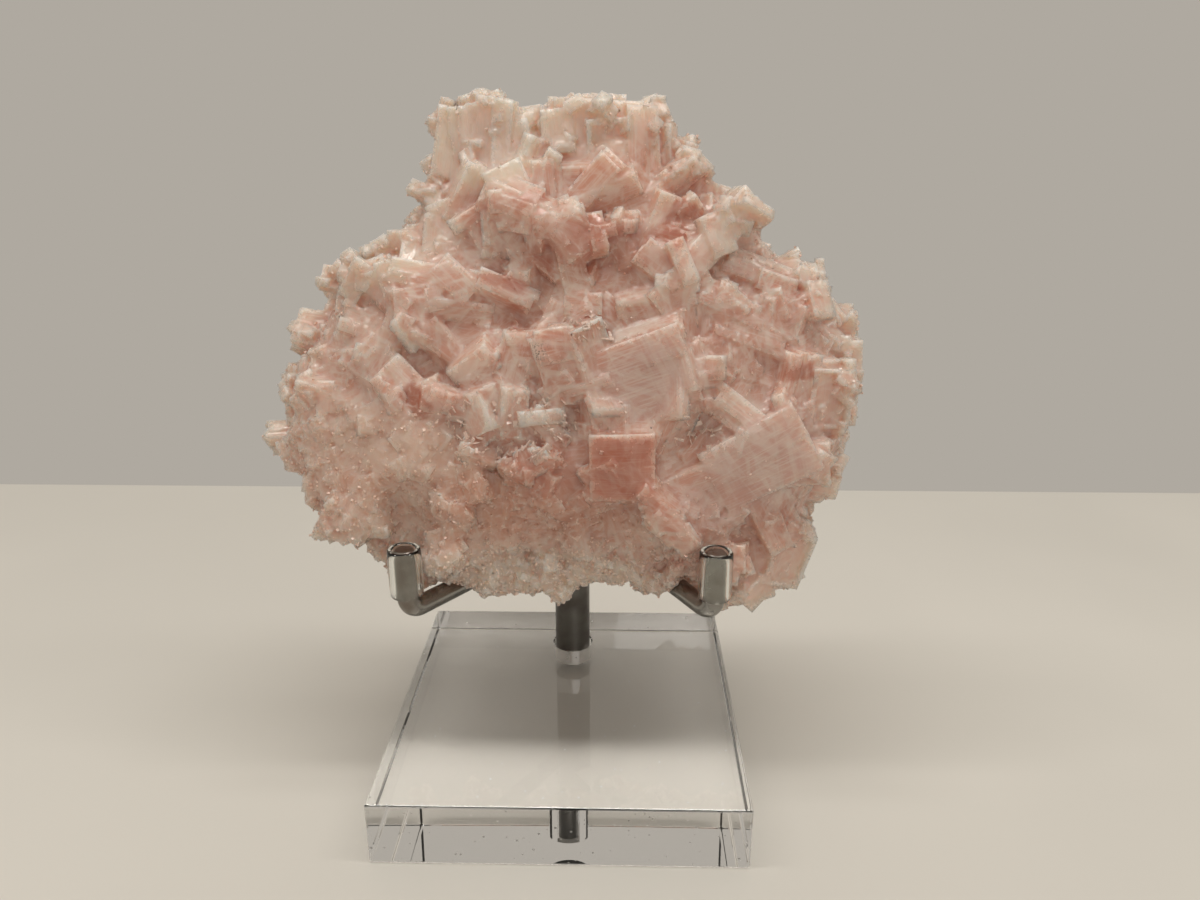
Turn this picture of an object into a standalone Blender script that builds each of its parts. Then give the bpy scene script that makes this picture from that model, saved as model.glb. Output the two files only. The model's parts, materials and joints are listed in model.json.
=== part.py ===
"""Pink halite crystal cluster resting on a three-rod display stand with a clear acrylic foot.

Frame: metres, +Z up, +Y away from the viewer. The origin is the centre of the foot's underside.

The cluster is described in its own plate frame: u runs to the right, v runs up the leaning
plate and n points out of its front face. It is a lumpy core with rectangular halite blades
fused into it: the large blades are placed one by one, the others are drawn from a seeded
generator and lie over the front, the back and the rim.
"""

import math
from dataclasses import dataclass

import bmesh
import bpy
import numpy as np
from mathutils import Vector

# Acrylic foot
FOOT_SIDE = 0.070
FOOT_HEIGHT = 0.013
FOOT_BEVEL = 0.0005

# Steel post, set into a blind hole near the back of the foot
POST_RADIUS = 0.004
POST_Y = 0.021
POST_TOP_Z = 0.057
HOLE_DEPTH = 0.0085
HOLE_CLEARANCE = 0.0004
POST_FOOT_GAP = 0.0003

# Steel rods brazed into sockets of the post, and the clear tube on their ends
ROD_RADIUS = 0.0019
SOCKET_CLEARANCE = 0.0003
SOCKET_DEPTH = 0.0028
SLEEVE_BORE = 0.0021
SLEEVE_RADIUS = 0.0031
FRONT_ARM_SPREAD = math.radians(35)
FRONT_ARM_REACH = 0.049
FRONT_ARM_Z = 0.0437
LEFT_SOCKET_Z = 0.0423
RIGHT_SOCKET_Z = 0.0475
ELBOW_RADIUS = 0.0031
FRONT_TIP_Z = 0.0562
BACK_SOCKET_Z = 0.0515
BACK_ELBOW_Z = 0.0600
BACK_TIP_LENGTH = 0.052
SLEEVE_FRONT_LENGTH = 0.0093
SLEEVE_BACK_LENGTH = 0.0300
SLEEVE_OVERHANG = 0.0002

# Plate frame of the cluster
LEAN = math.radians(8)
PLATE_ORIGIN = Vector((0.0, -0.001, 0.0465))
SEAT_CLEARANCE = 0.0003

# Core: rim radius every 15 degrees from +u, anticlockwise, about the core's centre
CORE_CENTRE_V = 0.036
CORE_RIM = (
    0.0530, 0.0500, 0.0450, 0.0450, 0.0440, 0.0480, 0.0450, 0.0490,
    0.0440, 0.0390, 0.0420, 0.0460, 0.0500, 0.0540, 0.0530, 0.0470,
    0.0410, 0.0375, 0.0360, 0.0375, 0.0420, 0.0510, 0.0520, 0.0530,
)
CORE_FRONT = 0.0115
CORE_BACK = 0.0120
CORE_FULLNESS = 4.0
BELLY_HEIGHT = 0.0035
BELLY_V = 0.020
BELLY_WIDTH = 0.020
TOP_THINNING = 0.0055
TOP_V = 0.068
TOP_BLEND = 0.010
LUMP_HEIGHT = 0.0011
RIM_BLADES = 36
BACK_STRIP = 0.009
CORE_SPOKES = 36
CORE_RINGS = 6

MILLIMETRE = 0.001


@dataclass
class Blade:
    """One rectangular halite crystal.

    u, v, n: its middle in the plate frame. length, width, thickness: its sides.
    heading: its long axis in the plate, from +u. rise: the tilt of that axis out of the
    plate. spin: its turn about that axis.
    """

    u: float
    v: float
    n: float
    length: float
    width: float
    thickness: float
    heading: float
    rise: float
    spin: float


def placed(u, v, n, length, width, thickness, heading, rise, spin):
    """A blade placed by its middle: sizes in millimetres and angles in degrees."""
    sizes = [MILLIMETRE * x for x in (u, v, n, length, width, thickness)]
    return Blade(*sizes, math.radians(heading), math.radians(rise), math.radians(spin))


def tipped(u, v, n, length, width, thickness, heading, rise, spin):
    """A blade placed by the middle of its far end, which is on the cluster's outline."""
    blade = placed(u, v, n, length, width, thickness, heading, rise, spin)
    blade.u -= blade.length / 2 * math.cos(blade.heading) * math.cos(blade.rise)
    blade.v -= blade.length / 2 * math.sin(blade.heading) * math.cos(blade.rise)
    blade.n -= blade.length / 2 * math.sin(blade.rise)
    return blade


def outline_blades():
    """The crystals whose tips make the outline, anticlockwise from the right edge."""
    return [
        # right edge
        tipped(55.5, 41, 3, 12, 7, 9, 4, 0, 8),
        tipped(55.5, 46, -1, 12, 6, 8, 352, 4, 15),
        tipped(50.5, 50, 2, 10, 6, 8, 20, 0, 30),
        tipped(49, 54, -2, 12, 6, 7, 350, 3, 15),
        tipped(45, 56.5, 3, 12, 6, 7, 25, 0, 35),
        tipped(40.5, 59.5, 0, 12, 6, 7, 55, 4, 10),
        # right shoulder
        tipped(36.5, 63, -2, 12, 6, 7, 35, 0, 25),
        tipped(34.0, 69.6, 8, 21, 5.2, 6, 46, -12, 14),
        tipped(28, 72, 1, 11, 6, 7, 70, 0, 30),
        tipped(24.2, 75.6, 3, 11, 6, 7, 55, 0, 12),
        tipped(20.7, 80, 0, 11, 6, 8, 72, 0, 20),
        # right tower, with its horn
        tipped(17, 86.5, 1, 13, 2.6, 6, 90, 0, 0),
        tipped(13.5, 86, 3, 13, 5.5, 8, 92, 0, 12),
        tipped(8, 87.2, 0, 13, 7, 9, 91, 0, 4),
        tipped(2, 86.6, 3, 13, 6, 8, 90, 0, -8),
        tipped(-2.6, 85.3, -1, 13, 4.5, 8, 93, 0, 10),
        # left tower
        tipped(-7.3, 84.8, 0, 12, 4, 7, 94, 0, 6),
        tipped(-11, 86.4, 4, 13, 4.5, 6, 89, 0, 24),
        tipped(-15.2, 88, 1, 14, 5, 8, 92, 0, -12),
        tipped(-19.2, 85.2, 3, 13, 5, 6, 78, 0, 8),
        # left shoulder
        tipped(-21.8, 78.2, -1, 11, 6, 8, 105, 0, 20),
        tipped(-24.8, 73, 2, 11, 6, 7, 135, 0, 10),
        tipped(-28.2, 67.5, -2, 11, 6, 7, 120, 0, 30),
        tipped(-33, 62, 3, 12, 6, 6, 110, 0, 15),
        tipped(-38, 59, -1, 11, 6, 7, 125, 0, 35),
        tipped(-43, 56, 2, 12, 6, 7, 140, 0, 20),
        tipped(-46, 51, -2, 11, 6, 7, 165, 0, 10),
        tipped(-51.5, 45, 1, 12, 7, 7, 170, 0, 30),
        tipped(-51.5, 39, -3, 11, 6, 8, 190, 0, 15),
        tipped(-53.5, 34, 2, 11, 6, 7, 170, 0, 25),
        # left edge, with its pointed corner
        tipped(-54.5, 29, -2, 12, 6, 8, 185, 0, 10),
        tipped(-59.0, 24.3, 0, 14, 4, 5, 182, 0, 40),
        tipped(-54.5, 20, 3, 12, 6, 7, 200, 0, 20),
        tipped(-50.5, 14.5, -1, 12, 7, 8, 215, 0, 30),
        tipped(-45.5, 9.5, 3, 12, 7, 7, 230, 0, 10),
        tipped(-39.5, 6, 2, 12, 7, 8, 235, 0, 25),
        # crust that hangs over the lower edge
        tipped(-34, 1.5, 8, 11, 6, 4, 250, 0, 12),
        tipped(-28.5, -1, 9, 11, 6, 4, 262, 0, -10),
        tipped(-22, -2.5, 9, 12, 6, 4, 275, 0, 8),
        tipped(-15.5, -3.5, 10, 12, 6, 4, 255, 0, -6),
        tipped(-9, -4, 10, 12, 6, 4, 280, 0, 12),
        tipped(-3, -3, 10, 11, 6, 4, 262, 0, 6),
        tipped(0.8, -4, 10, 9, 4, 4, 285, 0, -10),
        tipped(6, -1.5, 10, 11, 6, 4, 275, 0, 5),
        tipped(12.5, -2, 10, 11, 6, 4, 265, 0, -8),
        tipped(19, -3, 9, 12, 6, 4, 272, 0, 10),
        # lower right lobe
        tipped(26, -6, 3, 13, 6, 8, 262, 0, 20),
        tipped(32, -8.5, 2, 14, 7, 8, 268, 0, 8),
        tipped(38, -7, 2, 14, 7, 9, 285, 0, 24),
        tipped(41.5, -2.5, 0, 13, 7, 8, 310, 0, 12),
        tipped(43.5, 1.5, 2, 12, 7, 8, 335, 0, 30),
        tipped(46.5, 6.5, 3, 12, 6, 8, 352, 0, 15),
        tipped(49.5, 12, 0, 11, 6, 8, 330, 0, 25),
        tipped(53, 18, 3, 12, 7, 9, 350, 0, 10),
        tipped(54, 25, 0, 12, 8, 9, 2, 0, 20),
        tipped(55.5, 33, 2, 12, 9, 9, 358, 0, 6),
    ]


def face_blades():
    """The crystals that give the front its face, from the towers down to the belly."""
    return [
        # under the towers
        placed(-9.4, 71, 8.5, 8, 7, 7, 115, 4, 8),
        placed(8.3, 78.5, 4, 9, 8, 6, 93, 10, 5),
        placed(20, 72.5, 6, 11, 4, 5, 37, 6, 30),
        placed(-17, 70, 7, 12, 5, 5, 62, 8, 25),
        placed(-2.5, 70, 8, 12, 5, 4, 96, 10, 20),
        placed(9, 69.5, 8, 12, 6, 4, 22, 8, 30),
        placed(18, 64, 8, 12, 7, 5, 68, 6, 20),
        # upright blades of the middle and the hollow beside them
        placed(1.9, 56.5, 11.5, 15, 4.6, 5, 103, 8, 10),
        placed(3.4, 62.2, 11.5, 10, 3.4, 5, 175, 4, 30),
        placed(10.8, 60.5, 9, 12, 5, 4, 121, 8, 20),
        placed(-8.1, 62.2, 9, 12, 4.5, 4, 53, 12, 35),
        placed(-14, 62, 9, 12, 4, 4, 118, 10, 20),
        # fan of long blades on the left
        placed(-20, 54.6, 11.5, 23, 4.2, 5, 172, 5, 16),
        placed(-9.8, 52.5, 12.5, 12, 3.6, 5, 158, 6, 25),
        placed(-21, 50, 12.0, 19, 4, 5, 173, 6, -14),
        placed(-24, 44.6, 12.0, 13, 4, 5, 147, 8, 20),
        placed(-34, 53, 8.0, 14, 5, 5, 150, 5, 30),
        placed(-34, 46, 9.5, 13, 5, 5, 160, 8, 12),
        # blocks and plates of the middle
        placed(-1.2, 39.8, 14.6, 14, 6, 6, 109, 12, 12),
        placed(4.2, 43.3, 14.2, 9, 7, 7, 108, 14, 30),
        placed(-7.5, 41, 13.4, 11, 6, 5, 75, 10, -20),
        placed(15.5, 38.5, 14.2, 16, 13, 5, 20, 8, 6),
        placed(15.5, 45, 14.0, 15, 4.5, 5, 17, 12, 30),
        placed(23.5, 38, 13.5, 14, 5, 5, 112, 6, 20),
        placed(5.2, 36.5, 15.5, 9, 3, 4, 20, 4, 30),
        placed(36, 22.5, 12.5, 20, 12, 6, 28, 4, 8),
        placed(33.5, 30.5, 13.5, 17, 3.6, 6, 143, 4, 12),
        placed(44, 22.5, 9.5, 10, 8, 8, 4, 0, 10),
        placed(11.3, 22.3, 14.2, 12, 12, 9, 1, 3, 3),
        placed(23, 19, 12.6, 13, 6, 6, 22, 6, 25),
        placed(20, 29, 13.4, 13, 6, 5, 70, 14, 30),
        # right side
        placed(16.6, 57.5, 11, 8, 5, 5, 143, 6, 15),
        placed(17, 51.8, 12.5, 16, 3.4, 5, 10, 6, 25),
        placed(22.5, 46, 11.5, 10, 5, 5, 97, 10, 35),
        placed(29.5, 50, 10.5, 14, 3.8, 5, 156, 8, 20),
        placed(32.8, 44.4, 10.5, 15, 3.8, 5, 160, 8, 30),
        placed(35, 56, 7, 14, 4.6, 5, 160, 4, 20),
        placed(42, 49, 7, 12, 5, 5, 35, 8, 20),
        placed(42, 37, 10, 12, 6, 6, 80, 8, 24),
        placed(48, 34, 8, 11, 8, 8, 86, 4, 14),
        # lower right
        placed(39, 11, 8.5, 13, 8, 7, 120, 6, 18),
        placed(42, 3, 6.0, 11, 8, 8, 72, 5, 20),
        placed(35, 0, 6.5, 12, 8, 8, 100, 3, 12),
        placed(28, 8, 9.0, 12, 7, 6, 35, 8, 25),
        # left side, around the granular patch
        placed(-28, 35, 12.5, 13, 7, 6, 131, 10, 15),
        placed(-15, 40.3, 14, 10, 5, 6, 36, 12, 20),
        placed(-14, 31.5, 14, 11, 5, 6, 103, 14, 30),
        placed(-8.5, 32, 14.5, 10, 4.5, 6, 85, 16, 12),
        placed(-2.5, 28.5, 14.8, 10, 4, 5, 131, 12, 25),
        placed(7, 31.5, 14.6, 8, 4, 5, 104, 20, 10),
        placed(-43, 37, 7.5, 13, 6, 5, 20, 6, 20),
        placed(-40, 28, 10.0, 12, 7, 5, 150, 8, 15),
        # block on the back that leans on the back sleeve
        placed(0.5, 50, -11.6, 15, 10, 11, 84, 0, 0),
    ]


def scattered_blades():
    """Blades drawn at random over the front, the back and the rim.

    The strip of the back that the stand's back arm passes has none.
    """
    draw = np.random.default_rng(17)
    blades = []
    for count, side in ((44, 1), (46, -1)):
        for _ in range(count):
            angle = draw.uniform(0, 2 * math.pi)
            u, v = rim_point(angle, 0.95 * math.sqrt(draw.uniform(0, 1)))
            height = core_height(u, v, side < 0) + draw.uniform(-0.0015, 0.0005)
            length = draw.uniform(0.008, 0.014)
            blade = Blade(
                u, v, side * height, length,
                length * draw.uniform(0.35, 0.60), length * draw.uniform(0.28, 0.50),
                draw.uniform(0, math.pi), side * math.radians(draw.normal(8, 16)),
                draw.uniform(0, math.pi),
            )
            if side > 0 or abs(u) > BACK_STRIP:
                blades.append(blade)
    for step in range(RIM_BLADES):
        angle = 2 * math.pi * (step + draw.uniform(0.1, 0.9)) / RIM_BLADES
        u, v = rim_point(angle, draw.uniform(0.86, 0.90))
        length = draw.uniform(0.009, 0.012)
        blades.append(
            Blade(
                u, v, draw.uniform(-0.009, 0.005), length,
                length * draw.uniform(0.45, 0.65), length * draw.uniform(0.35, 0.55),
                angle + math.radians(draw.normal(0, 25)), math.radians(draw.normal(0, 15)),
                draw.uniform(0, math.pi),
            )
        )
    return blades


def rim_radius(angle):
    """The core's rim radius at an angle: a smooth curve through CORE_RIM."""
    step = 2 * np.pi / len(CORE_RIM)
    place = np.mod(angle, 2 * np.pi) / step
    low = np.floor(place).astype(int)
    share = place - low
    share = share * share * (3 - 2 * share)
    radii = np.asarray(CORE_RIM)
    count = len(CORE_RIM)
    return radii[low % count] * (1 - share) + radii[(low + 1) % count] * share


def rim_point(angle, share):
    """The point of the plate at that share of the way from the core's centre to its rim."""
    radius = share * rim_radius(angle)
    return radius * np.cos(angle), CORE_CENTRE_V + radius * np.sin(angle)


def core_height(u, v, back=False):
    """How far the core's front or back surface lies from the plate's middle, at u, v.

    A superellipse over the rim, with a low belly, a front that thins towards the towers,
    and a few lumps made of crossed waves.
    """
    angle = np.arctan2(v - CORE_CENTRE_V, u)
    share = np.minimum(np.hypot(u, v - CORE_CENTRE_V) / rim_radius(angle), 1.0)
    dome = (1 - share**CORE_FULLNESS) ** (1 / CORE_FULLNESS)
    lumps = LUMP_HEIGHT * (np.sin(310 * u + 140 * v) + np.cos(250 * v - 190 * u + 1.0))
    if back:
        return (CORE_BACK + lumps) * dome
    belly = BELLY_HEIGHT * np.exp(-(((v - BELLY_V) / BELLY_WIDTH) ** 2))
    thinning = TOP_THINNING / (1 + np.exp((TOP_V - v) / TOP_BLEND))
    return (CORE_FRONT + belly - thinning + lumps) * dome


def plate_to_world(points):
    """Plate coordinates u, v, n as world coordinates."""
    right = np.array((1.0, 0.0, 0.0))
    up = np.array((0.0, math.sin(LEAN), math.cos(LEAN)))
    out = np.array((0.0, -math.cos(LEAN), math.sin(LEAN)))
    return np.array(PLATE_ORIGIN) + points @ np.array((right, up, out))


def new_mesh_object(name, points, faces):
    """A mesh object made of points and faces, with its faces pointing outwards."""
    mesh = bpy.data.meshes.new(name)
    mesh.from_pydata([tuple(p) for p in points], [], [tuple(f) for f in faces])
    build = bmesh.new()
    build.from_mesh(mesh)
    bmesh.ops.recalc_face_normals(build, faces=build.faces[:])
    build.to_mesh(mesh)
    build.free()
    obj = bpy.data.objects.new(name, mesh)
    bpy.context.scene.collection.objects.link(obj)
    return obj


def make_core():
    """The lumpy body under the crystals: rings of points from the front pole to the back."""
    angles = 2 * np.pi * np.arange(CORE_SPOKES) / CORE_SPOKES
    turn = np.pi / 2 * np.arange(1, CORE_RINGS + 1) / CORE_RINGS
    shares = np.concatenate([np.sin(turn), np.sin(turn[:-1])[::-1]])
    backs = [False] * CORE_RINGS + [True] * (CORE_RINGS - 1)
    rings = []
    for share, back in zip(shares, backs):
        u, v = rim_point(angles, share)
        n = core_height(u, v, back) * (-1 if back else 1)
        rings.append(np.stack([u, v, n], axis=1))
    front_pole = (0.0, CORE_CENTRE_V, float(core_height(0.0, CORE_CENTRE_V)))
    back_pole = (0.0, CORE_CENTRE_V, -float(core_height(0.0, CORE_CENTRE_V, True)))
    points = np.concatenate([*rings, [front_pole, back_pole]])
    faces = []
    last = len(rings) - 1
    front, behind = len(points) - 2, len(points) - 1
    for spoke in range(CORE_SPOKES):
        after = (spoke + 1) % CORE_SPOKES
        faces.append((front, spoke, after))
        faces.append((behind, last * CORE_SPOKES + after, last * CORE_SPOKES + spoke))
        for ring in range(last):
            here, there = ring * CORE_SPOKES, (ring + 1) * CORE_SPOKES
            faces.append((here + spoke, there + spoke, there + after, here + after))
    return new_mesh_object("core", plate_to_world(points), faces)


def blade_axes(blade):
    """The blade's long, wide and thick axes in the plate frame, as rows."""
    ch, sh = math.cos(blade.heading), math.sin(blade.heading)
    cr, sr = math.cos(blade.rise), math.sin(blade.rise)
    cs, ss = math.cos(blade.spin), math.sin(blade.spin)
    along = np.array((cr * ch, cr * sh, sr))
    side = np.array((-sh, ch, 0.0))
    top = np.cross(along, side)
    return np.array((along, cs * side + ss * top, cs * top - ss * side))


def make_blade(name, blade):
    """A rectangular crystal, its corners at plus and minus half of each side."""
    corners = np.array([(x, y, z) for x in (-1, 1) for y in (-1, 1) for z in (-1, 1)], float)
    half = np.array((blade.length, blade.width, blade.thickness)) / 2
    points = np.array((blade.u, blade.v, blade.n)) + (corners * half) @ blade_axes(blade)
    faces = [(0, 1, 3, 2), (4, 6, 7, 5), (0, 4, 5, 1), (2, 3, 7, 6), (0, 2, 6, 4), (1, 5, 7, 3)]
    return new_mesh_object(name, plate_to_world(points), faces)


def apply_modifiers(obj):
    """Replaces the object's mesh by the one that its modifiers make."""
    bpy.context.view_layer.update()
    graph = bpy.context.evaluated_depsgraph_get()
    mesh = bpy.data.meshes.new_from_object(obj.evaluated_get(graph))
    obj.modifiers.clear()
    obj.data = mesh


def remove_object(obj):
    """Deletes an object that has done its work."""
    bpy.data.objects.remove(obj, do_unlink=True)


def join(first, second):
    """Fuses the second object into the first."""
    boolean = first.modifiers.new("Join", "BOOLEAN")
    boolean.operation = "UNION"
    boolean.solver = "MANIFOLD"
    boolean.object = second
    apply_modifiers(first)
    remove_object(second)
    return first


def cut(obj, cutter):
    """Takes the cutter out of the object."""
    boolean = obj.modifiers.new("Cut", "BOOLEAN")
    boolean.operation = "DIFFERENCE"
    boolean.solver = "EXACT"
    boolean.object = cutter
    apply_modifiers(obj)
    remove_object(cutter)
    return obj


def cylinder(name, radius, start, end, sides=24):
    """A closed cylinder between two points."""
    axis = (Vector(end) - Vector(start)).normalized()
    turn = axis.to_track_quat("Z", "Y").to_matrix()
    build = bmesh.new()
    angles = 2 * np.pi * np.arange(sides) / sides
    circle = [turn @ Vector((radius * math.cos(a), radius * math.sin(a), 0)) for a in angles]
    low = [build.verts.new(Vector(start) + p) for p in circle]
    high = [build.verts.new(Vector(end) + p) for p in circle]
    build.faces.new(low[::-1])
    build.faces.new(high)
    for i in range(sides):
        j = (i + 1) % sides
        build.faces.new((low[i], low[j], high[j], high[i]))
    mesh = bpy.data.meshes.new(name)
    build.to_mesh(mesh)
    build.free()
    obj = bpy.data.objects.new(name, mesh)
    bpy.context.scene.collection.objects.link(obj)
    return obj


def rounded_path(start, corner, end, radius, steps=6):
    """Start, a circular bend of that radius in place of the corner, and end."""
    start, corner, end = Vector(start), Vector(corner), Vector(end)
    before = (start - corner).normalized()
    after = (end - corner).normalized()
    half = before.angle(after) / 2
    reach = radius / math.tan(half)
    centre = corner + (before + after).normalized() * radius / math.sin(half)
    first = corner + before * reach - centre
    last = corner + after * reach - centre
    sweep = first.angle(last)
    bend = [
        centre + (first * math.sin((1 - t) * sweep) + last * math.sin(t * sweep)) / math.sin(sweep)
        for t in (i / steps for i in range(steps + 1))
    ]
    return [start, *bend, end]


def rod(name, path, radius, sides=14):
    """A round rod along a path: a circle carried from point to point, with flat ends."""
    tangents = []
    for i, point in enumerate(path):
        before = path[max(i - 1, 0)]
        after = path[min(i + 1, len(path) - 1)]
        tangents.append((after - before).normalized())
    side = tangents[0].orthogonal().normalized()
    points, faces = [], []
    for point, tangent in zip(path, tangents):
        side = (side - tangent * side.dot(tangent)).normalized()
        other = tangent.cross(side)
        for i in range(sides):
            angle = 2 * math.pi * i / sides
            points.append(point + radius * (side * math.cos(angle) + other * math.sin(angle)))
    for ring in range(len(path) - 1):
        here, there = ring * sides, (ring + 1) * sides
        for i in range(sides):
            j = (i + 1) % sides
            faces.append((here + i, here + j, there + j, there + i))
    faces.append(tuple(range(sides)))
    faces.append(tuple(range(len(points) - sides, len(points))))
    return new_mesh_object(name, points, faces)


def front_arm_path(side, socket_z):
    """A front arm: out of the post, forwards and sideways, then up to its tip."""
    direction = Vector((side * math.sin(FRONT_ARM_SPREAD), -math.cos(FRONT_ARM_SPREAD), 0))
    axis = Vector((0, POST_Y, 0))
    inner = POST_RADIUS - SOCKET_DEPTH + SOCKET_CLEARANCE
    start = axis + direction * inner + Vector((0, 0, socket_z))
    corner = axis + direction * FRONT_ARM_REACH + Vector((0, 0, FRONT_ARM_Z))
    end = Vector((corner.x, corner.y, FRONT_TIP_Z))
    return rounded_path(start, corner, end, ELBOW_RADIUS)


def back_arm_path():
    """The back arm: up out of the post's top, then leaning back with the plate."""
    start = Vector((0, POST_Y, BACK_SOCKET_Z + SOCKET_CLEARANCE))
    corner = Vector((0, POST_Y, BACK_ELBOW_Z))
    end = corner + BACK_TIP_LENGTH * Vector((0, math.sin(LEAN), math.cos(LEAN)))
    return rounded_path(start, corner, end, 4 * ELBOW_RADIUS, 4)


def sleeve(name, path, length):
    """A clear tube pushed over the last stretch of an arm, open at both ends."""
    tip, before = path[-1], path[-2]
    axis = (tip - before).normalized()
    top = tip + axis * SLEEVE_OVERHANG
    tube = cylinder(name, SLEEVE_RADIUS, top - axis * length, top)
    bore = cylinder("bore", SLEEVE_BORE, top - axis * (length + 0.001), top + axis * 0.001)
    return cut(tube, bore)


def make_foot():
    """The acrylic block, its edges just broken, with the post's blind hole."""
    build = bmesh.new()
    bmesh.ops.create_cube(build, size=1.0)
    bmesh.ops.scale(build, vec=(FOOT_SIDE, FOOT_SIDE, FOOT_HEIGHT), verts=build.verts)
    bmesh.ops.translate(build, vec=(0, 0, FOOT_HEIGHT / 2), verts=build.verts)
    bmesh.ops.bevel(
        build, geom=build.edges[:], offset=FOOT_BEVEL, segments=1, affect="EDGES", profile=0.5
    )
    mesh = bpy.data.meshes.new("acrylic_foot")
    build.to_mesh(mesh)
    build.free()
    foot = bpy.data.objects.new("acrylic_foot", mesh)
    bpy.context.scene.collection.objects.link(foot)
    floor = FOOT_HEIGHT - HOLE_DEPTH
    hole = cylinder(
        "hole", POST_RADIUS + HOLE_CLEARANCE, (0, POST_Y, floor), (0, POST_Y, 2 * FOOT_HEIGHT)
    )
    return cut(foot, hole)


def make_post(left_path, right_path, back_path):
    """The upright, with a socket for each arm."""
    bottom = FOOT_HEIGHT - HOLE_DEPTH + POST_FOOT_GAP
    post = cylinder("post", POST_RADIUS, (0, POST_Y, bottom), (0, POST_Y, POST_TOP_Z))
    for path in (left_path, right_path, back_path):
        inward = (path[0] - path[1]).normalized()
        start = path[0] + inward * SOCKET_CLEARANCE
        end = path[0] - inward * 0.008
        socket = cylinder("socket", ROD_RADIUS + SOCKET_CLEARANCE, start, end, 16)
        cut(post, socket)
    return post


def keep_outer_shell(obj):
    """Fills the pockets closed in between crystals: only the largest shell stays."""
    build = bmesh.new()
    build.from_mesh(obj.data)
    left = set(build.verts)
    shells = []
    while left:
        shell, edge = set(), [left.pop()]
        while edge:
            vert = edge.pop()
            shell.add(vert)
            for link in vert.link_edges:
                other = link.other_vert(vert)
                if other in left:
                    left.remove(other)
                    edge.append(other)
        shells.append(shell)
    largest = max(shells, key=len)
    bmesh.ops.delete(build, geom=[v for v in build.verts if v not in largest], context="VERTS")
    build.to_mesh(obj.data)
    build.free()


def make_cluster(seats):
    """The halite: core and blades fused, and cleared around what it rests on.

    seats: the path and the radius of each rod and sleeve.
    """
    blades = outline_blades() + face_blades() + scattered_blades()
    pieces = [make_core()] + [make_blade(f"blade_{i}", b) for i, b in enumerate(blades)]
    while len(pieces) > 1:
        paired = [join(a, b) for a, b in zip(pieces[0::2], pieces[1::2])]
        pieces = paired + pieces[2 * len(paired):]
    cluster = pieces[0]
    for path, radius in seats:
        cut(cluster, rod("seat", path, radius + SEAT_CLEARANCE))
    keep_outer_shell(cluster)
    cluster.name = "halite_cluster"
    return cluster


def material(name, colour, roughness, metallic=0.0, transmission=0.0, ior=1.5):
    """A Principled material with the part's plain finish."""
    made = bpy.data.materials.new(name)
    made.use_nodes = True
    shader = made.node_tree.nodes["Principled BSDF"]
    shader.inputs["Base Color"].default_value = (*colour, 1)
    shader.inputs["Roughness"].default_value = roughness
    shader.inputs["Metallic"].default_value = metallic
    shader.inputs["Transmission Weight"].default_value = transmission
    shader.inputs["IOR"].default_value = ior
    return made


def finish(obj, made, smooth):
    """Gives the object its material, and shades round pieces smooth up to 30 degrees."""
    obj.data.materials.clear()
    obj.data.materials.append(made)
    if smooth:
        obj.data.shade_smooth()
        obj.data.set_sharp_from_angle(angle=math.radians(30))


def main():
    """Builds the stand and the cluster from an empty scene."""
    for obj in list(bpy.data.objects):
        bpy.data.objects.remove(obj, do_unlink=True)

    steel = material("steel", (0.42, 0.41, 0.39), 0.28, metallic=1.0)
    acrylic = material("acrylic", (0.97, 0.98, 0.98), 0.03, transmission=1.0, ior=1.49)
    vinyl = material("vinyl", (0.95, 0.95, 0.93), 0.08, transmission=1.0, ior=1.53)
    halite = material("halite", (0.84, 0.60, 0.52), 0.35, transmission=0.2, ior=1.544)

    left_path = front_arm_path(-1, LEFT_SOCKET_Z)
    right_path = front_arm_path(1, RIGHT_SOCKET_Z)
    back_path = back_arm_path()

    finish(make_foot(), acrylic, False)
    finish(make_post(left_path, right_path, back_path), steel, True)
    seats = []
    arms = (
        ("left", left_path, SLEEVE_FRONT_LENGTH),
        ("right", right_path, SLEEVE_FRONT_LENGTH),
        ("back", back_path, SLEEVE_BACK_LENGTH),
    )
    for side, path, length in arms:
        finish(rod(f"{side}_arm", path, ROD_RADIUS), steel, True)
        finish(sleeve(f"{side}_sleeve", path, length), vinyl, True)
        axis = (path[-1] - path[-2]).normalized()
        tip = path[-1] + axis * SLEEVE_OVERHANG
        seats.append((path, ROD_RADIUS))
        seats.append(([tip - axis * length, tip], SLEEVE_RADIUS))
    seats.append(([Vector((0, POST_Y, 0.03)), Vector((0, POST_Y, POST_TOP_Z))], POST_RADIUS))
    finish(make_cluster(seats), halite, False)


if __name__ == "__main__":
    main()
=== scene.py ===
"""The looks of a pink halite crystal cluster on its three-arm display stand.

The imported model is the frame. Every solid of it is replaced by a finer mesh of the same place
and size: the cluster by some thousands of fused crystals, the stand by round rods and tubes.

Sizes are in metres, except in the cluster's own plate frame, which is in millimetres: u runs to
the right, v runs up the leaning plate and n points out of its front face.
"""

from __future__ import annotations

import json
import logging
import math
from dataclasses import dataclass, field
from enum import Enum

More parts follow.
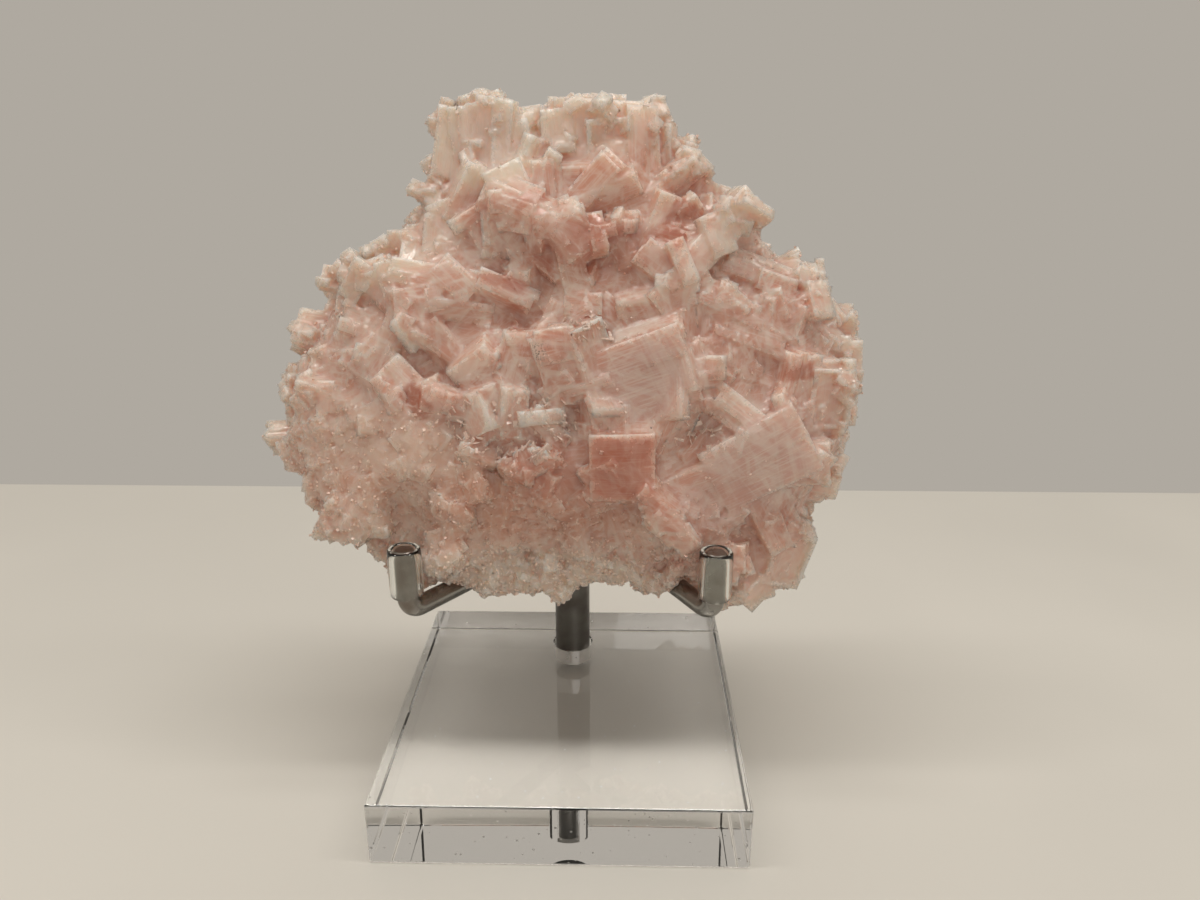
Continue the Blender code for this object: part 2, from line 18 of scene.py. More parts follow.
import bmesh
import bpy
import numpy as np
from mathutils import Matrix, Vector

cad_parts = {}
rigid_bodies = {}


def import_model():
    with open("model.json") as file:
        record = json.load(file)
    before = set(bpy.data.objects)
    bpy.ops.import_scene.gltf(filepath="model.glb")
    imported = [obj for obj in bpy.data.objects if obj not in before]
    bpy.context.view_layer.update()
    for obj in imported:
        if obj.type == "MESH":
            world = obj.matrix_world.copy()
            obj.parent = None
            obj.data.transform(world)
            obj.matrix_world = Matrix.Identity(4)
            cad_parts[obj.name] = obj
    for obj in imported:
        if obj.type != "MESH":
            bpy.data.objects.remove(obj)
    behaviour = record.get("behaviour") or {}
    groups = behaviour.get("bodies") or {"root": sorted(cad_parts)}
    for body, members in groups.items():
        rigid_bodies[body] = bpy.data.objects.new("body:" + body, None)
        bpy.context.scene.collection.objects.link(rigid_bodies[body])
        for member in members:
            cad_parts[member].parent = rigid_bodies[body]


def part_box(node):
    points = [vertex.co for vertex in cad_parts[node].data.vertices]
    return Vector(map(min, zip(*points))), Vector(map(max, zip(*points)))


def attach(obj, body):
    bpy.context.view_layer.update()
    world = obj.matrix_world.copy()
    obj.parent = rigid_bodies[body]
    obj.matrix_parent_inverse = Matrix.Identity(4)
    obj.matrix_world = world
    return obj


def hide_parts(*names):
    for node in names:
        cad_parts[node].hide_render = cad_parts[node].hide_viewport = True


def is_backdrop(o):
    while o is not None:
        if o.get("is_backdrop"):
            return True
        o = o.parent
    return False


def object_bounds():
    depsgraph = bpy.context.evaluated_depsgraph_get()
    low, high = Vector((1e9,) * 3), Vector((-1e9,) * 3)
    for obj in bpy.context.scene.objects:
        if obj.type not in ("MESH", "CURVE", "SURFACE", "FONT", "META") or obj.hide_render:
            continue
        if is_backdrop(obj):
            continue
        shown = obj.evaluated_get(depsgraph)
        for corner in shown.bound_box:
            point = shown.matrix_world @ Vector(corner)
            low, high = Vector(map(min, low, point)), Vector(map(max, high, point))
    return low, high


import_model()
CAD_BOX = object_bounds()

Array = np.ndarray
Object = bpy.types.Object
Mesh = bpy.types.Mesh
Material = bpy.types.Material
Node = bpy.types.Node
NodeTree = bpy.types.NodeTree
Socket = bpy.types.NodeSocket

LOG = logging.getLogger("halite")
MM = 0.001
SPECIMEN = "halite_cluster"
UP = np.array((0.0, 0.0, 1.0))
# A path that rises more than this share of its length counts as upright.
STEEP = 0.8


class Habit(Enum):
    """How a crystal has grown."""

    BLADE = "a bundle of narrow parallel ribs with stepped ends"
    BLOCK = "a few broad ribs"
    HOPPER = "a block whose outer face is sunk inside a raised rim"
    PLATE = "a wide smooth slab"


class Side(Enum):
    """A side of the cluster's plate: the sign of n."""

    FRONT = 1
    BACK = -1


# ---------------------------------------------------------------- mesh helpers


def new_object(name: str, points: Array, faces: list) -> Object:
    """Puts points and faces into a new mesh object at the origin.

    Args:
        name: the object's name.
        points: an array of n by 3 positions in metres.
        faces: the point numbers of each face.

    Returns:
        The linked object.
    """
    mesh = bpy.data.meshes.new(name)
    mesh.from_pydata(points.tolist(), [], faces)
    mesh.update()
    obj = bpy.data.objects.new(name, mesh)
    bpy.context.scene.collection.objects.link(obj)
    return obj


def keep_modified(obj: Object) -> None:
    """Keeps what the object's modifiers make of its mesh, and clears them.

    Args:
        obj: the object.
    """
    bpy.context.view_layer.update()
    graph = bpy.context.evaluated_depsgraph_get()
    made = bpy.data.meshes.new_from_object(obj.evaluated_get(graph))
    obj.modifiers.clear()
    old, obj.data = obj.data, made
    bpy.data.meshes.remove(old)


def cut_out(obj: Object, others: list[Object]) -> None:
    """Takes other closed objects out of this one, and deletes them.

    Args:
        obj: the object that stays.
        others: the objects to take out.
    """
    group = bpy.data.collections.new("operands")
    bpy.context.scene.collection.children.link(group)
    for other in others:
        bpy.context.scene.collection.objects.unlink(other)
        group.objects.link(other)
    modifier = obj.modifiers.new("Boolean", "BOOLEAN")
    modifier.operation = "DIFFERENCE"
    modifier.solver = "MANIFOLD"
    modifier.operand_type = "COLLECTION"
    modifier.collection = group
    keep_modified(obj)
    meshes = [other.data for other in others]
    bpy.data.batch_remove(others)
    bpy.data.batch_remove(meshes)
    bpy.data.collections.remove(group)


def grid_faces(rows: int, columns: int, closed: bool = False) -> Array:
    """Quads between neighbouring rows of points, each row a ring of columns.

    Args:
        rows: how many rings.
        columns: points in each ring.
        closed: whether the last ring joins the first.

    Returns:
        An array of faces by 4 point numbers.
    """
    row = np.arange(rows if closed else rows - 1)[:, None]
    column = np.arange(columns)[None]
    below, above = row * columns, (row + 1) % rows * columns
    after = (column + 1) % columns
    quads = (below + column, below + after, above + after, above + column)
    return np.stack(quads, axis=-1).reshape(-1, 4)


def capped(rows: int, columns: int) -> list:
    """The faces of a tube made of rings, with a flat cap at each end.

    Args:
        rows: how many rings.
        columns: points in each ring.

    Returns:
        The faces.
    """
    faces = grid_faces(rows, columns).tolist()
    faces.append(list(range(columns))[::-1])
    faces.append(list(range((rows - 1) * columns, rows * columns)))
    return faces


def unit(vectors: Array) -> Array:
    """A vector, or each row of many, brought to a length of one."""
    length = np.linalg.norm(vectors) if vectors.ndim == 1 else np.linalg.norm(vectors, axis=1)[:, None]
    return vectors / length


def circle(first: Array, second: Array, sides: int) -> Array:
    """Unit circles as cos a * first + sin a * second.

    Args:
        first: where each circle starts, a vector or m by 3.
        second: where it is after a quarter turn.
        sides: points on it.

    Returns:
        The points, with an axis for the sides before the last one.
    """
    turn = 2 * np.pi * np.arange(sides) / sides
    return np.cos(turn)[:, None] * first[..., None, :] + np.sin(turn)[:, None] * second[..., None, :]


def carried_tube(path: Array, radii: Array, sides: int) -> tuple[Array, list]:
    """A round profile carried along a path, closed at both ends.

    A circle of the given radius stands square to the path at each of its points. Its start
    direction is carried from point to point, so that the tube doesn't twist.

    Args:
        path: m by 3 points.
        radii: the radius at each point.
        sides: points on each circle.

    Returns:
        The points and the faces.
    """
    tangents = unit(np.gradient(path, axis=0))
    across = np.empty_like(path)
    steep = abs(tangents[0, 2]) > STEEP
    carried = np.array((1.0, 0.0, 0.0)) if steep else UP
    for station, tangent in enumerate(tangents):
        carried = unit(carried - tangent * (carried @ tangent))
        across[station] = carried
    circles = circle(across, np.cross(tangents, across), sides)
    points = path[:, None] + radii[:, None, None] * circles
    return points.reshape(-1, 3), capped(len(path), sides)


def turned(profile: Array, base: Array, axis: Array, sides: int, ring: bool) -> tuple[Array, list]:
    """A profile of radius and height turned round an axis.

    A point is base + height * axis + radius * (cos a * X + sin a * Y), X and Y square to it.

    Args:
        profile: k by 2 radii and heights.
        base: where height nought is.
        axis: the unit axis.
        sides: steps round it.
        ring: whether the profile is a closed loop, as a tube's is. Otherwise its two ends are
            closed with flat caps.

    Returns:
        The points and the faces.
    """
    first = unit(np.cross((0.0, 1.0, 0.0), axis))
    around = circle(first, np.cross(axis, first), sides)
    points = base + profile[:, 1, None, None] * axis + profile[:, 0, None, None] * around
    count = len(profile)
    faces = grid_faces(count, sides, closed=True).tolist() if ring else capped(count, sides)
    return points.reshape(-1, 3), faces


def shade_round(obj: Object, degrees: float = 30.0) -> None:
    """Shades the object smooth except over edges sharper than the angle."""
    obj.data.shade_smooth()
    obj.data.set_sharp_from_angle(angle=math.radians(degrees))


def edge_ends(mesh: Mesh) -> Array:
    """The first points of all edges, and then the second ones."""
    edges = np.empty(len(mesh.edges) * 2, np.int32)
    mesh.edges.foreach_get("vertices", edges)
    return edges.reshape(-1, 2).T


def largest_shell(mesh: Mesh) -> Array:
    """Which points belong to the shell with the most points.

    Each point's label falls to the lowest one among its neighbours, until nothing changes.

    Args:
        mesh: the mesh.

    Returns:
        True for each point of that shell.
    """
    start, end = edge_ends(mesh)
    label = np.arange(len(mesh.vertices))
    before = None
    while not np.array_equal(before, label):
        before = label.copy()
        lowest = np.minimum(label[start], label[end])
        np.minimum.at(label, start, lowest)
        np.minimum.at(label, end, lowest)
        label = label[label]
    return label == np.bincount(label).argmax()


def finish(obj: Object, kind: str, **settings: object) -> None:
    """Runs one modifier on an object and keeps its result.

    Args:
        obj: the object.
        kind: the modifier's type.
        settings: its properties.
    """
    modifier = obj.modifiers.new(kind, kind)
    for name, value in settings.items():
        setattr(modifier, name, value)
    keep_modified(obj)


def drop_pockets(obj: Object) -> None:
    """Deletes every shell but the largest: the walls of pockets closed in by the crystals.

    Args:
        obj: the object to clean.
    """
    outer = largest_shell(obj.data)
    build = bmesh.new()
    build.from_mesh(obj.data)
    build.verts.ensure_lookup_table()
    inner = [build.verts[i] for i in np.flatnonzero(~outer)]
    bmesh.ops.delete(build, geom=inner, context="VERTS")
    build.to_mesh(obj.data)
    build.free()


def eased(share: Array) -> Array:
    """A share from nought to one with soft ends: t * t * (3 - 2 t)."""
    return share * share * (3 - 2 * share)


def smooth_step(low: float, high: float, value: Array) -> Array:
    """Nought at low, one at high, and a smooth change in between."""
    return eased(np.clip((value - low) / (high - low), 0, 1))


# ---------------------------------------------------------------- crystals


def spun(along: Array, side: Array, spin: Array) -> Array:
    """Long axes with the two others turned about them.

    The wide axis is cos s * side + sin s * top and the thick one cos s * top - sin s * side,
    top being square to the long axis and the side.

    Args:
        along: the long axes, k by 3.
        side: directions square to them.
        spin: the angles, in radians.

    Returns:
        An array of k by 3 axes by 3 coordinates.
    """
    top = np.cross(along, side)
    cs, ss = np.cos(spin)[:, None], np.sin(spin)[:, None]
    return np.stack([along, cs * side + ss * top, cs * top - ss * side], axis=1)


def axes_of(heading: Array, rise: Array, spin: Array) -> Array:
    """Long, wide and thick axes of crystals in the plate frame.

    The long axis starts along u, is turned by heading in the plate and tilted out of it by
    rise. The wide and thick axes then turn about it by spin. Angles are in radians.

    Args:
        heading: turn in the plate, one for each crystal.
        rise: tilt out of the plate.
        spin: turn about the long axis.

    Returns:
        An array of k by 3 axes by 3 coordinates.
    """
    ch, sh = np.cos(heading), np.sin(heading)
    cr, sr = np.cos(rise), np.sin(rise)
    along = np.stack([cr * ch, cr * sh, sr], axis=1)
    side = np.stack([-sh, ch, np.zeros_like(ch)], axis=1)
    return spun(along, side, spin)


@dataclass(frozen=True)
class Crystal:
    """One halite crystal, in millimetres and degrees of the plate frame.

    u, v, n are its middle, or the middle of its far end where by_tip is set.
    """

    habit: Habit
    u: float
    v: float
    n: float
    length: float
    width: float
    thickness: float
    heading: float
    rise: float = 0.0
    spin: float = 0.0
    by_tip: bool = False

    def axes(self) -> Array:
        """Its long, wide and thick axes."""
        angles = [np.radians([angle]) for angle in (self.heading, self.rise, self.spin)]
        return axes_of(*angles)[0]

    def middle(self) -> Array:
        """The middle of the crystal."""
        place = np.array((self.u, self.v, self.n), float)
        return place - self.axes()[0] * self.length / 2 if self.by_tip else place


@dataclass
class Bars:
    """Many rectangular bars as arrays, in millimetres of the plate frame.

    middle is k by 3, size is k by 3 sides, axes is k by 3 axes by 3 coordinates, and tint is
    a random number of each bar.
    """

    middle: Array
    size: Array
    axes: Array
    tint: Array

    def arrays(self) -> tuple[Array, ...]:
        """All its arrays, in the order of its fields."""
        return self.middle, self.size, self.axes, self.tint

    @staticmethod
    def joined(parts: list["Bars"]) -> "Bars":
        """All the bars of several sets."""
        return Bars(*(np.concatenate(column) for column in zip(*(part.arrays() for part in parts))))

    def only(self, chosen: Array) -> "Bars":
        """The chosen bars."""
        return Bars(*(column[chosen] for column in self.arrays()))

    def __len__(self) -> int:
        """How many bars there are."""
        return len(self.middle)


BLADE, BLOCK, HOPPER, PLATE = Habit.BLADE, Habit.BLOCK, Habit.HOPPER, Habit.PLATE


def outline_crystals() -> list[Crystal]:
    """The crystals whose tips make the outline, anticlockwise from the right edge.

    Returns:
        The crystals.
    """
    rows = (
        # right edge
        (BLOCK, 55.5, 41, 3, 12, 7, 9, 4, 0, 8),
        (BLADE, 55.5, 46, -1, 12, 6, 8, 352, 4, 15),
        (BLADE, 50.5, 50, 2, 10, 6, 8, 20, 0, 30),
        (BLOCK, 49, 54, -2, 12, 6, 7, 350, 3, 15),
        (BLADE, 45, 56.5, 3, 12, 6, 7, 25, 0, 35),
        (BLADE, 40.5, 59.5, 0, 12, 6, 7, 55, 4, 10),
        # right shoulder
        (BLADE, 36.5, 63, -2, 12, 6, 7, 35, 0, 25),
        (BLADE, 34, 69.6, 8, 21, 5.2, 6, 46, -12, 14),
        (BLADE, 28, 72, 1, 11, 6, 7, 70, 0, 30),
        (BLOCK, 24.2, 75.6, 3, 11, 6, 7, 55, 0, 12),
        (BLADE, 20.7, 80, 0, 11, 6, 8, 72, 0, 20),
        # right tower, with its horn
        (BLADE, 17, 86.5, 1, 13, 2.6, 6, 90, 0, 0),
        (BLOCK, 13.5, 85.4, 3, 13, 5.5, 8, 92, 0, 12),
        (BLOCK, 8, 87.4, 0, 13, 6, 9, 87, 0, 4),
        (BLADE, 4, 87.8, 2, 13, 4, 8, 95, 0, 10),
        (BLOCK, 0.5, 86.9, 1, 13, 5, 8, 90, 0, -8),
        (BLADE, -2.6, 85.3, -1, 13, 4.5, 8, 93, 0, 10),
        # left tower
        (BLADE, -7.3, 84.8, 0, 12, 4, 7, 94, 0, 6),
        (BLADE, -11, 86.4, 4, 13, 4.5, 6, 89, 0, 24),
        (BLADE, -15.2, 88, 1, 14, 5, 8, 92, 0, -12),
        (BLOCK, -19.2, 85.2, 3, 13, 5, 6, 78, 0, 8),
        # left shoulder
        (BLOCK, -21.8, 78.2, -1, 11, 6, 8, 105, 0, 20),
        (BLADE, -24.8, 73, 2, 11, 6, 7, 135, 0, 10),
        (BLADE, -28.2, 67.5, -2, 11, 6, 7, 120, 0, 30),
        (BLADE, -33, 62, 3, 12, 6, 6, 110, 0, 15),
        (BLOCK, -38, 59, -1, 11, 6, 7, 125, 0, 35),
        (BLADE, -43, 56, 2, 12, 6, 7, 140, 0, 20),
        (BLADE, -46, 51, -2, 11, 6, 7, 165, 0, 10),
        (BLOCK, -51.5, 45, 1, 12, 7, 7, 170, 0, 30),
        (BLADE, -51.5, 39, -3, 11, 6, 8, 190, 0, 15),
        (BLADE, -53.5, 34, 2, 11, 6, 7, 170, 0, 25),
        # left edge, with its pointed corner
        (BLADE, -54.5, 29, -2, 12, 6, 8, 185, 0, 10),
        (BLADE, -59, 24.3, 0, 14, 4, 5, 182, 0, 40),
        (BLADE, -54.5, 20, 3, 12, 6, 7, 200, 0, 20),
        (BLOCK, -50.5, 14.5, -1, 12, 7, 8, 215, 0, 30),
        (BLADE, -45.5, 9.5, 3, 12, 7, 7, 230, 0, 10),
        (BLOCK, -39.5, 6, 2, 12, 7, 8, 235, 0, 25),
        # crust that hangs over the lower edge
        (BLADE, -34, 1.5, 8, 11, 6, 4, 250, 0, 12),
        (BLADE, -28.5, -1, 9, 11, 6, 4, 262, 0, -10),
        (BLADE, -22, -2.5, 9, 12, 6, 4, 275, 0, 8),
        (BLADE, -15.5, -3.5, 10, 12, 6, 4, 255, 0, -6),
        (BLADE, -9, -4, 10, 12, 6, 4, 280, 0, 12),
        (BLADE, -3, -3, 10, 11, 6, 4, 262, 0, 6),
        (BLADE, 0.8, -4, 10, 9, 4, 4, 285, 0, -10),
        (BLADE, 6, -1.5, 10, 11, 6, 4, 275, 0, 5),
        (BLADE, 12.5, -2, 10, 11, 6, 4, 265, 0, -8),
        (BLADE, 19, -3, 9, 12, 6, 4, 272, 0, 10),
        # lower right lobe
        (BLOCK, 26, -6, 3, 13, 6, 8, 262, 0, 20),
        (BLOCK, 32, -8.5, 2, 14, 7, 8, 268, 0, 8),
        (BLADE, 38, -7, 2, 14, 7, 9, 285, 0, 24),
        (BLOCK, 41.5, -2.5, 0, 13, 7, 8, 310, 0, 12),
        (BLADE, 43.5, 1.5, 2, 12, 7, 8, 335, 0, 30),
        (BLOCK, 46.5, 6.5, 3, 12, 6, 8, 352, 0, 15),
        (BLADE, 49.5, 12, 0, 11, 6, 8, 330, 0, 25),
        (BLOCK, 53, 18, 3, 12, 7, 9, 350, 0, 10),
        (BLADE, 54, 25, 0, 12, 8, 9, 2, 0, 20),
        (BLOCK, 55.5, 33, 2, 12, 9, 9, 358, 0, 6),
    )
    return [Crystal(*row, by_tip=True) for row in rows]


def face_crystals() -> list[Crystal]:
    """The crystals that give the front its face, from the towers down to the belly.

    Returns:
        The crystals.
    """
    rows = (
        # the towers' upright slabs
        (BLOCK, -0.8, 79.0, 4.2, 12, 5.5, 4, 94, 5, 4),
        (BLOCK, 4.6, 80.6, 4.8, 12, 6.5, 4, 88, 5, -4),
        (BLOCK, 10.8, 80.0, 4.6, 12, 7, 4, 91, 4, 5),
        (BLADE, -17.2, 79.5, 4.4, 12, 5, 4, 97, 5, 8),
        (BLOCK, -12.2, 80.6, 5.0, 12, 6.5, 4, 84, 6, -5),
        (BLADE, -7.6, 77.5, 4.6, 11, 4, 4, 99, 5, 10),
        # under the towers
        (BLOCK, -9.4, 71, 8.5, 8, 7, 7, 115, 4, 8),
        (HOPPER, 8.3, 78.5, 4, 9, 8, 6, 93, 10, 5),
        (BLADE, 20, 72.5, 6, 11, 4, 5, 37, 6, 30),
        (BLADE, -17, 70, 7, 12, 5, 5, 62, 8, 25),
        (BLADE, -2.5, 70, 8, 12, 5, 4, 96, 10, 20),
        (BLADE, 9, 69.5, 8, 12, 6, 4, 22, 8, 30),
        (BLADE, 18, 64, 8, 12, 7, 5, 68, 6, 20),
        # upright blades of the middle and the hollow beside them
        (BLADE, 1.9, 56.5, 11.5, 15, 4.6, 5, 103, 8, 10),
        (BLADE, 3.4, 62.2, 11.5, 10, 3.4, 5, 175, 4, 30),
        (BLADE, 10.8, 60.5, 9, 12, 5, 4, 121, 8, 20),
        (BLADE, -8.1, 62.2, 9, 12, 4.5, 4, 53, 12, 35),
        (BLADE, -14, 62, 9, 12, 4, 4, 118, 10, 20),
        # fan of long blades on the left
        (BLADE, -20, 54.6, 10.9, 23, 3.8, 5, 172, 4, 16),
        (BLADE, -9.8, 52.5, 12.0, 12, 3.4, 5, 158, 5, 25),
        (BLADE, -21, 50, 11.4, 19, 3.6, 5, 173, 5, -14),
        (BLADE, -24, 44.6, 12, 13, 4, 5, 147, 8, 20),
        (BLADE, -34, 53, 8, 14, 5, 5, 150, 5, 30),
        (BLADE, -34, 46, 9.5, 13, 5, 5, 160, 8, 12),
        # blocks and plates of the middle
        (BLADE, -1.2, 39.8, 14.6, 14, 6, 6, 109, 12, 12),
        (HOPPER, 4.2, 43.3, 14.2, 9, 7, 7, 108, 14, 30),
        (BLADE, -7.5, 41, 13.4, 11, 6, 5, 75, 10, -20),
        (PLATE, 15.5, 38.5, 14.6, 17, 14, 5, 20, 8, 6),
        (BLADE, 15.5, 45, 14, 15, 4.5, 5, 17, 12, 30),
        (BLADE, 23.5, 38, 13.5, 14, 5, 5, 112, 6, 20),
        (BLADE, 5.2, 36.5, 15.5, 9, 3, 4, 20, 4, 30),
        (PLATE, 36, 23.5, 13.2, 20, 13, 6, 28, 4, 8),
        (BLADE, 33.5, 30.5, 13.5, 17, 3.6, 6, 143, 4, 12),
        (BLOCK, 44, 22.5, 9.5, 10, 8, 8, 4, 0, 10),
        (PLATE, 11.3, 22.3, 14.4, 12, 12, 9, 1, 3, 3),
        (BLADE, 23, 19, 12.6, 13, 6, 6, 22, 6, 25),
        (BLADE, 20, 29, 13.4, 13, 6, 5, 70, 14, 30),
        # right side
        (BLOCK, 16.6, 57.5, 11, 8, 5, 5, 143, 6, 15),
        (BLADE, 17, 51.8, 12.5, 16, 3.4, 5, 10, 6, 25),
        (BLADE, 22.5, 46, 11.5, 10, 5, 5, 97, 10, 35),
        (BLADE, 29.5, 50, 10.5, 14, 3.8, 5, 156, 8, 20),
        (BLADE, 32.8, 44.4, 10.5, 15, 3.8, 5, 160, 8, 30),
        (BLADE, 35, 56, 7, 14, 4.6, 5, 160, 4, 20),
        (BLADE, 42, 49, 7, 12, 5, 5, 35, 8, 20),
        (BLADE, 42, 37, 10, 12, 6, 6, 80, 8, 24),
        (HOPPER, 48, 34, 8, 11, 8, 8, 86, 4, 14),
        # lower right
        (BLOCK, 39, 11, 8.5, 13, 8, 7, 120, 6, 18),
        (HOPPER, 42, 3, 6, 11, 8, 8, 72, 5, 20),
        (BLOCK, 35, 0, 6.5, 12, 8, 8, 100, 3, 12),
        (BLADE, 28, 8, 9, 12, 7, 6, 35, 8, 25),
        # left side, around the granular patch
        (BLOCK, -28, 35, 12.5, 13, 7, 6, 131, 10, 15),
        (BLADE, -15, 40.3, 14, 10, 5, 6, 36, 12, 20),
        (BLADE, -14, 31.5, 14, 11, 5, 6, 103, 14, 30),
        (BLADE, -8.5, 32, 14.5, 10, 4.5, 6, 85, 16, 12),
        (BLADE, -2.5, 28.5, 14.8, 10, 4, 5, 131, 12, 25),
        (BLADE, 7, 31.5, 14.6, 8, 4, 5, 104, 20, 10),
        (BLADE, -43, 37, 7.5, 13, 6, 5, 20, 6, 20),
        (BLADE, -40, 28, 10, 12, 7, 5, 150, 8, 15),
        # block on the back that leans on the back sleeve
        (BLOCK, 0.5, 50, -11.6, 15, 10, 11, 84, 0, 0),
    )
    return [Crystal(*row) for row in rows]


@dataclass(frozen=True)
class Core:
    """The lumpy body under the crystals, in millimetres.

    rim is its radius every 15 degrees from +u, anticlockwise, about the core's centre.
    """

    centre_v: float = 36.0
    rim: tuple[float, ...] = (
        *(53.0, 50.0, 45.0, 45.0, 44.0, 48.0, 45.0, 49.0, 44.0, 39.0, 42.0, 46.0),
        *(50.0, 54.0, 53.0, 47.0, 41.0, 37.5, 36.0, 37.5, 42.0, 51.0, 52.0, 53.0),
    )
    front: float = 12.2
    back: float = 12.0
    fullness: float = 4.0
    belly_height: float = 3.2
    belly_v: float = 20.0
    belly_width: float = 20.0
    top_thinning: float = 5.5
    top_v: float = 68.0
    top_blend: float = 10.0
    lump_height: float = 1.1
    spokes: int = 72
    rings: int = 14

    def rim_radius(self, angle: Array) -> Array:
        """The rim radius at angles: a smooth step from each value to the next.

        Args:
            angle: the angles, in radians.

        Returns:
            The radii.
        """
        step = 2 * np.pi / len(self.rim)
        place = np.mod(angle, 2 * np.pi) / step
        low = np.floor(place).astype(int)
        share = eased(place - low)
        radii = np.asarray(self.rim)
        return radii[low % len(radii)] * (1 - share) + radii[(low + 1) % len(radii)] * share

    def place(self, angle: Array, share: Array) -> tuple[Array, Array]:
        """The u and v at that share of the way from the centre to the rim."""
        radius = share * self.rim_radius(angle)
        return radius * np.cos(angle), self.centre_v + radius * np.sin(angle)

    def height(self, u: Array, v: Array, side: Side) -> Array:
        """How far the surface lies from the plate's middle.

        A superellipse over the rim, with a low belly, a front that thins towards the towers,
        and a few lumps made of crossed waves.

        Args:
            u: places to the right.
            v: places up the plate.
            side: which surface.

        Returns:
            The heights, never negative.
        """
        angle = np.arctan2(v - self.centre_v, u)
        share = np.minimum(np.hypot(u, v - self.centre_v) / self.rim_radius(angle), 1.0)
        dome = (1 - share**self.fullness) ** (1 / self.fullness)
        waves = np.sin(0.31 * u + 0.14 * v) + np.cos(0.25 * v - 0.19 * u + 1)
        lumps = self.lump_height * waves
        if side is Side.BACK:
            return (self.back + lumps) * dome
        belly = self.belly_height * np.exp(-(((v - self.belly_v) / self.belly_width) ** 2))
        thinning = self.top_thinning / (1 + np.exp((self.top_v - v) / self.top_blend))
        return (self.front + belly - thinning + lumps) * dome

    def surface(self) -> tuple[Array, list]:
        """The core as rings of points: a function of the angle and the share of the radius.

        Returns:
            The points in the plate frame and the faces, closed at the front and back poles.
        """
        angles = 2 * np.pi * np.arange(self.spokes) / self.spokes
        turn = np.pi / 2 * np.arange(1, self.rings + 1) / self.rings
        rings, poles = [], []
        for shares, side in ((np.sin(turn), Side.FRONT), (np.sin(turn[:-1])[::-1], Side.BACK)):
            u, v = self.place(angles[None], shares[:, None])
            rings.append(np.stack([u, v, side.value * self.height(u, v, side)], axis=-1))
            pole = float(self.height(0.0, self.centre_v, side))
            poles.append((0.0, self.centre_v, side.value * pole))
        points = np.concatenate(rings)
        count = len(points)
        spoke = np.arange(self.spokes)
        after = (spoke + 1) % self.spokes
        front, last = count * self.spokes, (count - 1) * self.spokes
        faces = grid_faces(count, self.spokes)[:, ::-1].tolist()
        faces += np.stack([np.full_like(spoke, front), spoke, after], 1).tolist()
        faces += np.stack([np.full_like(spoke, front + 1), last + after, last + spoke], 1).tolist()
        return np.concatenate([points.reshape(-1, 3), poles]), faces


# ---------------------------------------------------------------- growing


# The corners of a box, and its six faces turned outwards.
BOX_CORNERS = np.array([(x, y, z) for x in (-1, 1) for y in (-1, 1) for z in (-1, 1)], float)
BOX_FACES = np.array([(0, 1, 3, 2), (4, 6, 7, 5), (0, 4, 5, 1), (2, 3, 7, 6), (0, 2, 6, 4), (1, 5, 7, 3)])
# Lattice noise looks its values up in a table of this length, at a sum of these multiples.
NOISE_VALUES = 4096
NOISE_KEYS = np.array((73856093, 19349663, 83492791))


def box_mesh(bars: Bars, draw: np.random.Generator, looseness: float) -> tuple[Array, Array]:
    """All the bars as one mesh of closed boxes.

    A corner is the bar's middle and half its size along each axis, moved by a small share of
    the bar's thinnest side, so that no two faces are quite parallel.

    Args:
        bars: the bars.
        draw: where the small moves come from.
        looseness: that share.

    Returns:
        The points in the plate frame and the faces.
    """
    local = BOX_CORNERS * bars.size[:, None] / 2
    local = local + draw.uniform(-1, 1, local.shape) * looseness * bars.size.min(axis=1)[:, None, None]
    points = bars.middle[:, None] + local @ bars.axes
    faces = BOX_FACES + 8 * np.arange(len(bars))[:, None, None]
    return points.reshape(-1, 3), faces.reshape(-1, 4)


def lattice_noise(points: Array, cell: float, seed: int) -> Array:
    """Smooth noise from -1 to 1: random values at the corners of a lattice, blended between.

    The share across a cell is eased along each axis.

    Args:
        points: k by 3 places.
        cell: the lattice's step.
        seed: which noise.

    Returns:
        The noise at each place.
    """
    table = np.random.default_rng(seed).uniform(-1, 1, NOISE_VALUES)
    place = points / cell
    low = np.floor(place).astype(np.int64)
    share = eased(place - low)
    total = np.zeros(len(points))
    for corner in BOX_CORNERS.astype(int):
        step = (corner + 1) // 2
        key = (low + step) @ NOISE_KEYS
        weight = np.where(step == 1, share, 1 - share).prod(axis=1)
        total += weight * table[np.mod(key, len(table))]
    return total


@dataclass
class Skin:
    """The points of a closed mesh with their normals and neighbours, in the plate frame."""

    points: Array
    normals: Array
    start: Array
    end: Array

    def neighbour_mean(self, values: Array) -> Array:
        """The mean over each point's neighbours of one number or three.

        Args:
            values: a number, or a row of three, for each point.

        Returns:
            The means, shaped like the values.
        """
        rows = values.reshape(len(values), -1)
        total = len(rows)
        start, end = self.start, self.end
        count = np.bincount(start, minlength=total) + np.bincount(end, minlength=total)
        sums = [np.bincount(start, row[end], total) + np.bincount(end, row[start], total) for row in rows.T]
        return (np.stack(sums, axis=1) / np.maximum(count, 1)[:, None]).reshape(values.shape)

    def blurred(self, values: Array, rounds: int) -> Array:
        """Values moved halfway to their neighbours' mean, as many times as asked."""
        for _ in range(rounds):
            values = (values + self.neighbour_mean(values)) / 2
        return values

    def smoothed(self, rounds: int) -> Array:
        """The points without their steps: each round moves them in a little and out again.

        Args:
            rounds: how many rounds.

        Returns:
            The places of the points.
        """
        places = self.points
        for _ in range(rounds):
            for share in (0.50, -0.52):
                places = places + share * (self.neighbour_mean(places) - places)
        return places

    def bulge(self) -> Array:
        """How far each point stands out of its neighbours' mean, along its normal."""
        return np.sum((self.points - self.neighbour_mean(self.points)) * self.normals, axis=1)


